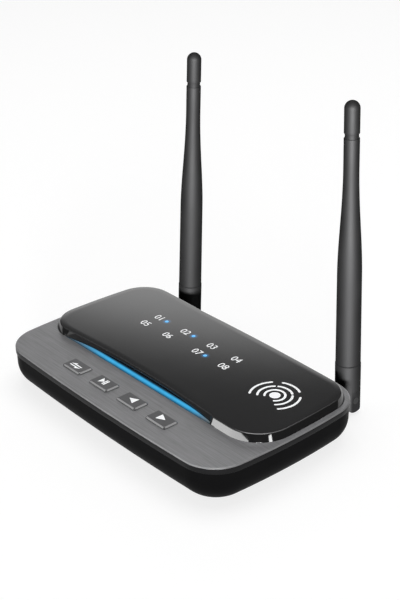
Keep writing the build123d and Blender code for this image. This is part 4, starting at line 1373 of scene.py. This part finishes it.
@dataclass(frozen=True)
class Glow:
    """A round soft light far away: strength / (1 + exp(sharpness * (cos(radius) - cos(angle))))."""

    azimuth: float
    elevation: float
    radius: float
    sharpness: float
    strength: float

    def direction(self) -> Point:
        """Unit vector towards the glow's middle."""
        turn, lift = math.radians(self.azimuth), math.radians(self.elevation)
        return math.cos(turn) * math.cos(lift), math.sin(turn) * math.cos(lift), math.sin(lift)


@dataclass(frozen=True)
class SoftBox:
    """A rectangular lamp that faces a point, and lights one finish alone where that is given."""

    name: str
    place: Point
    target: Point
    size: Place
    power: float
    finish: Finish | None = None


@dataclass
class Studio:
    """Pale floor, white surroundings, soft lamps and the camera."""

    floor_half: float = 3000.0
    floor_colour: Colour = (0.3, 0.3, 0.3)
    floor_lift: float = 0.78
    surround: float = 0.12
    glows: tuple[Glow, ...] = (
        Glow(135, -5.4, 34.4, 142.0, 2.2),
        Glow(222, 36, 14.0, 30.0, 1.0),
        Glow(52, 43, 14.0, 30.0, 0.9),
    )
    lamps: tuple[SoftBox, ...] = (
        SoftBox("overhead_lamp", (-120, 200, 900), (0, 0, 0), (700, 700), 4.5),
        SoftBox("front_lamp", (690, -600, 78), (0, 30, 60), (200, 130), 11.0),
    )
    cards: tuple[SoftBox, ...] = (
        SoftBox("front_card", (-68, -640, 96), (44, -8, 17), (780, 190), 3.6),
        SoftBox("side_card", (560, -120, 115), (55, -8, 17), (70, 120), 0.4),
        SoftBox("high_card", (20, -30, 800), (0, 0, 17), (420, 420), 2.8),
        SoftBox("mast_card", (720, -625, 96), (0, 30, 60), (200, 130), 118.0, ANTENNA),
    )
    camera_place: Point = (0.29343, -0.23562, 0.23408)
    camera_azimuth: float = 49.85
    camera_elevation: float = 27.02
    camera_roll: float = -1.22
    camera_lens: float = 73.97

    def build_floor(self) -> None:
        """A flat floor that keeps the receiver's shadow and is white in the camera and in reflections."""
        mesh = bpy.data.meshes.new("floor")
        corners = np.array([(-1, -1, 0), (1, -1, 0), (1, 1, 0), (-1, 1, 0)]) * self.floor_half * MM
        mesh.from_pydata(corners.tolist(), [], [(0, 1, 2, 3)])
        material = bpy.data.materials.new("floor_paper")
        material.use_nodes = True
        nodes = Nodes(material.node_tree)
        paper = nodes.add("BsdfDiffuse", None, {"Color": (*self.floor_colour, 1)})
        path = nodes.add("LightPath").outputs
        rays = nodes.total(*[path[f"Is {kind} Ray"] for kind in ("Camera", "Glossy", "Transmission")])
        seen = nodes.math("MINIMUM", rays, 1.0)
        lift = nodes.add("Emission", None, {"Strength": nodes.product(seen, self.floor_lift)})
        both = nodes.add("AddShader", None, {0: paper.outputs[0], 1: lift.outputs[0]})
        nodes.add("OutputMaterial", None, {"Surface": both.outputs[0]})
        mesh.materials.append(material)
        new_object("floor", mesh)

    def build_world(self) -> None:
        """White for the camera and through clear parts, and elsewhere a dim room with soft glows."""
        world = bpy.data.worlds.new("studio")
        world.use_nodes = True
        bpy.context.scene.world = world
        nodes = Nodes(world.node_tree)
        way = nodes.add("TexCoord").outputs["Generated"]
        parts = []
        for glow in self.glows:
            dot = nodes.vector("DOT_PRODUCT", way, glow.direction()).outputs["Value"]
            inside = nodes.math("SUBTRACT", math.cos(math.radians(glow.radius)), dot)
            fall = nodes.math("EXPONENT", nodes.product(inside, glow.sharpness))
            parts.append(nodes.math("DIVIDE", glow.strength, nodes.total(fall, 1.0)))
        path = nodes.add("LightPath").outputs
        seen = nodes.math("MAXIMUM", path["Is Camera Ray"], path["Is Transmission Ray"])
        room = {0: seen, 2: nodes.total(*parts, self.surround), 3: 1.0}
        strength = nodes.add("Mix", {"data_type": "FLOAT"}, room).outputs[0]
        back = nodes.add("Background", None, {"Strength": strength})
        nodes.add("OutputWorld", None, {"Surface": back.outputs[0]})

    def pieces_with(self, finish: Finish) -> bpy.types.Collection:
        """A collection of the pieces that wear a finish."""
        group = bpy.data.collections.new(finish.name)
        for piece in bpy.context.scene.objects:
            if piece.type == "MESH" and finish.name in piece.data.materials:
                group.objects.link(piece)
        return group

    def build_lamps(self) -> None:
        """Hangs each soft box and turns it to its target; the cards show in glossy surfaces only."""
        for box in self.lamps + self.cards:
            light = bpy.data.lights.new(box.name, "AREA")
            light.shape, light.size, light.size_y = "RECTANGLE", box.size[0] * MM, box.size[1] * MM
            light.energy = box.power
            lamp = new_object(box.name, light)
            place, target = Vector(box.place) * MM, Vector(box.target) * MM
            turn = (target - place).to_track_quat("-Z", "Y").to_matrix().to_4x4()
            lamp.matrix_world = Matrix.Translation(place) @ turn
            lamp.visible_diffuse = box in self.lamps
            if box.finish:
                lamp.light_linking.receiver_collection = self.pieces_with(box.finish)

    def build_camera(self) -> None:
        """Stands the camera at its place and turns it by azimuth, elevation and roll."""
        angles = (self.camera_azimuth, self.camera_elevation, self.camera_roll)
        turn, lift, roll = [math.radians(a) for a in angles]
        back = Vector((math.sin(turn) * math.cos(lift), -math.cos(turn) * math.cos(lift), math.sin(lift)))
        right = Vector((math.cos(turn), math.sin(turn), 0))
        up = back.cross(right)
        rolled_right = right * math.cos(roll) + up * math.sin(roll)
        rolled_up = -right * math.sin(roll) + up * math.cos(roll)
        data = bpy.data.cameras.new("camera")
        data.lens, data.sensor_width, data.sensor_fit = self.camera_lens, 36, "AUTO"
        data.clip_start, data.clip_end = 0.01, 20
        camera = new_object("camera", data)
        matrix = Matrix((rolled_right, rolled_up, back)).transposed().to_4x4()
        camera.matrix_world = Matrix.Translation(self.camera_place) @ matrix
        bpy.context.scene.camera = camera

    def build(self) -> None:
        """Sets up the whole studio, once every piece is dressed."""
        self.build_floor()
        self.build_world()
        self.build_lamps()
        self.build_camera()
        bpy.context.scene.view_settings.view_transform = "Standard"


def main() -> None:
    """Builds every sub-assembly and the studio."""
    logging.basicConfig(level=logging.INFO, format="%(message)s")
    dress_frame()
    buttons, deck, panel = ButtonRow(), Deck(), DisplayPanel()
    deck.build(buttons)
    panel.build_panel(deck)
    panel.build_strip()
    panel.build_numerals()
    panel.build_dots()
    panel.build_mark()
    buttons.build()
    BaseRing().build()
    Antenna("left", -1, 6.3873).build()
    Antenna("right", 1, -3.0072).build()
    RearSockets().build()
    Studio().build()


if __name__ == "__main__":
    main()
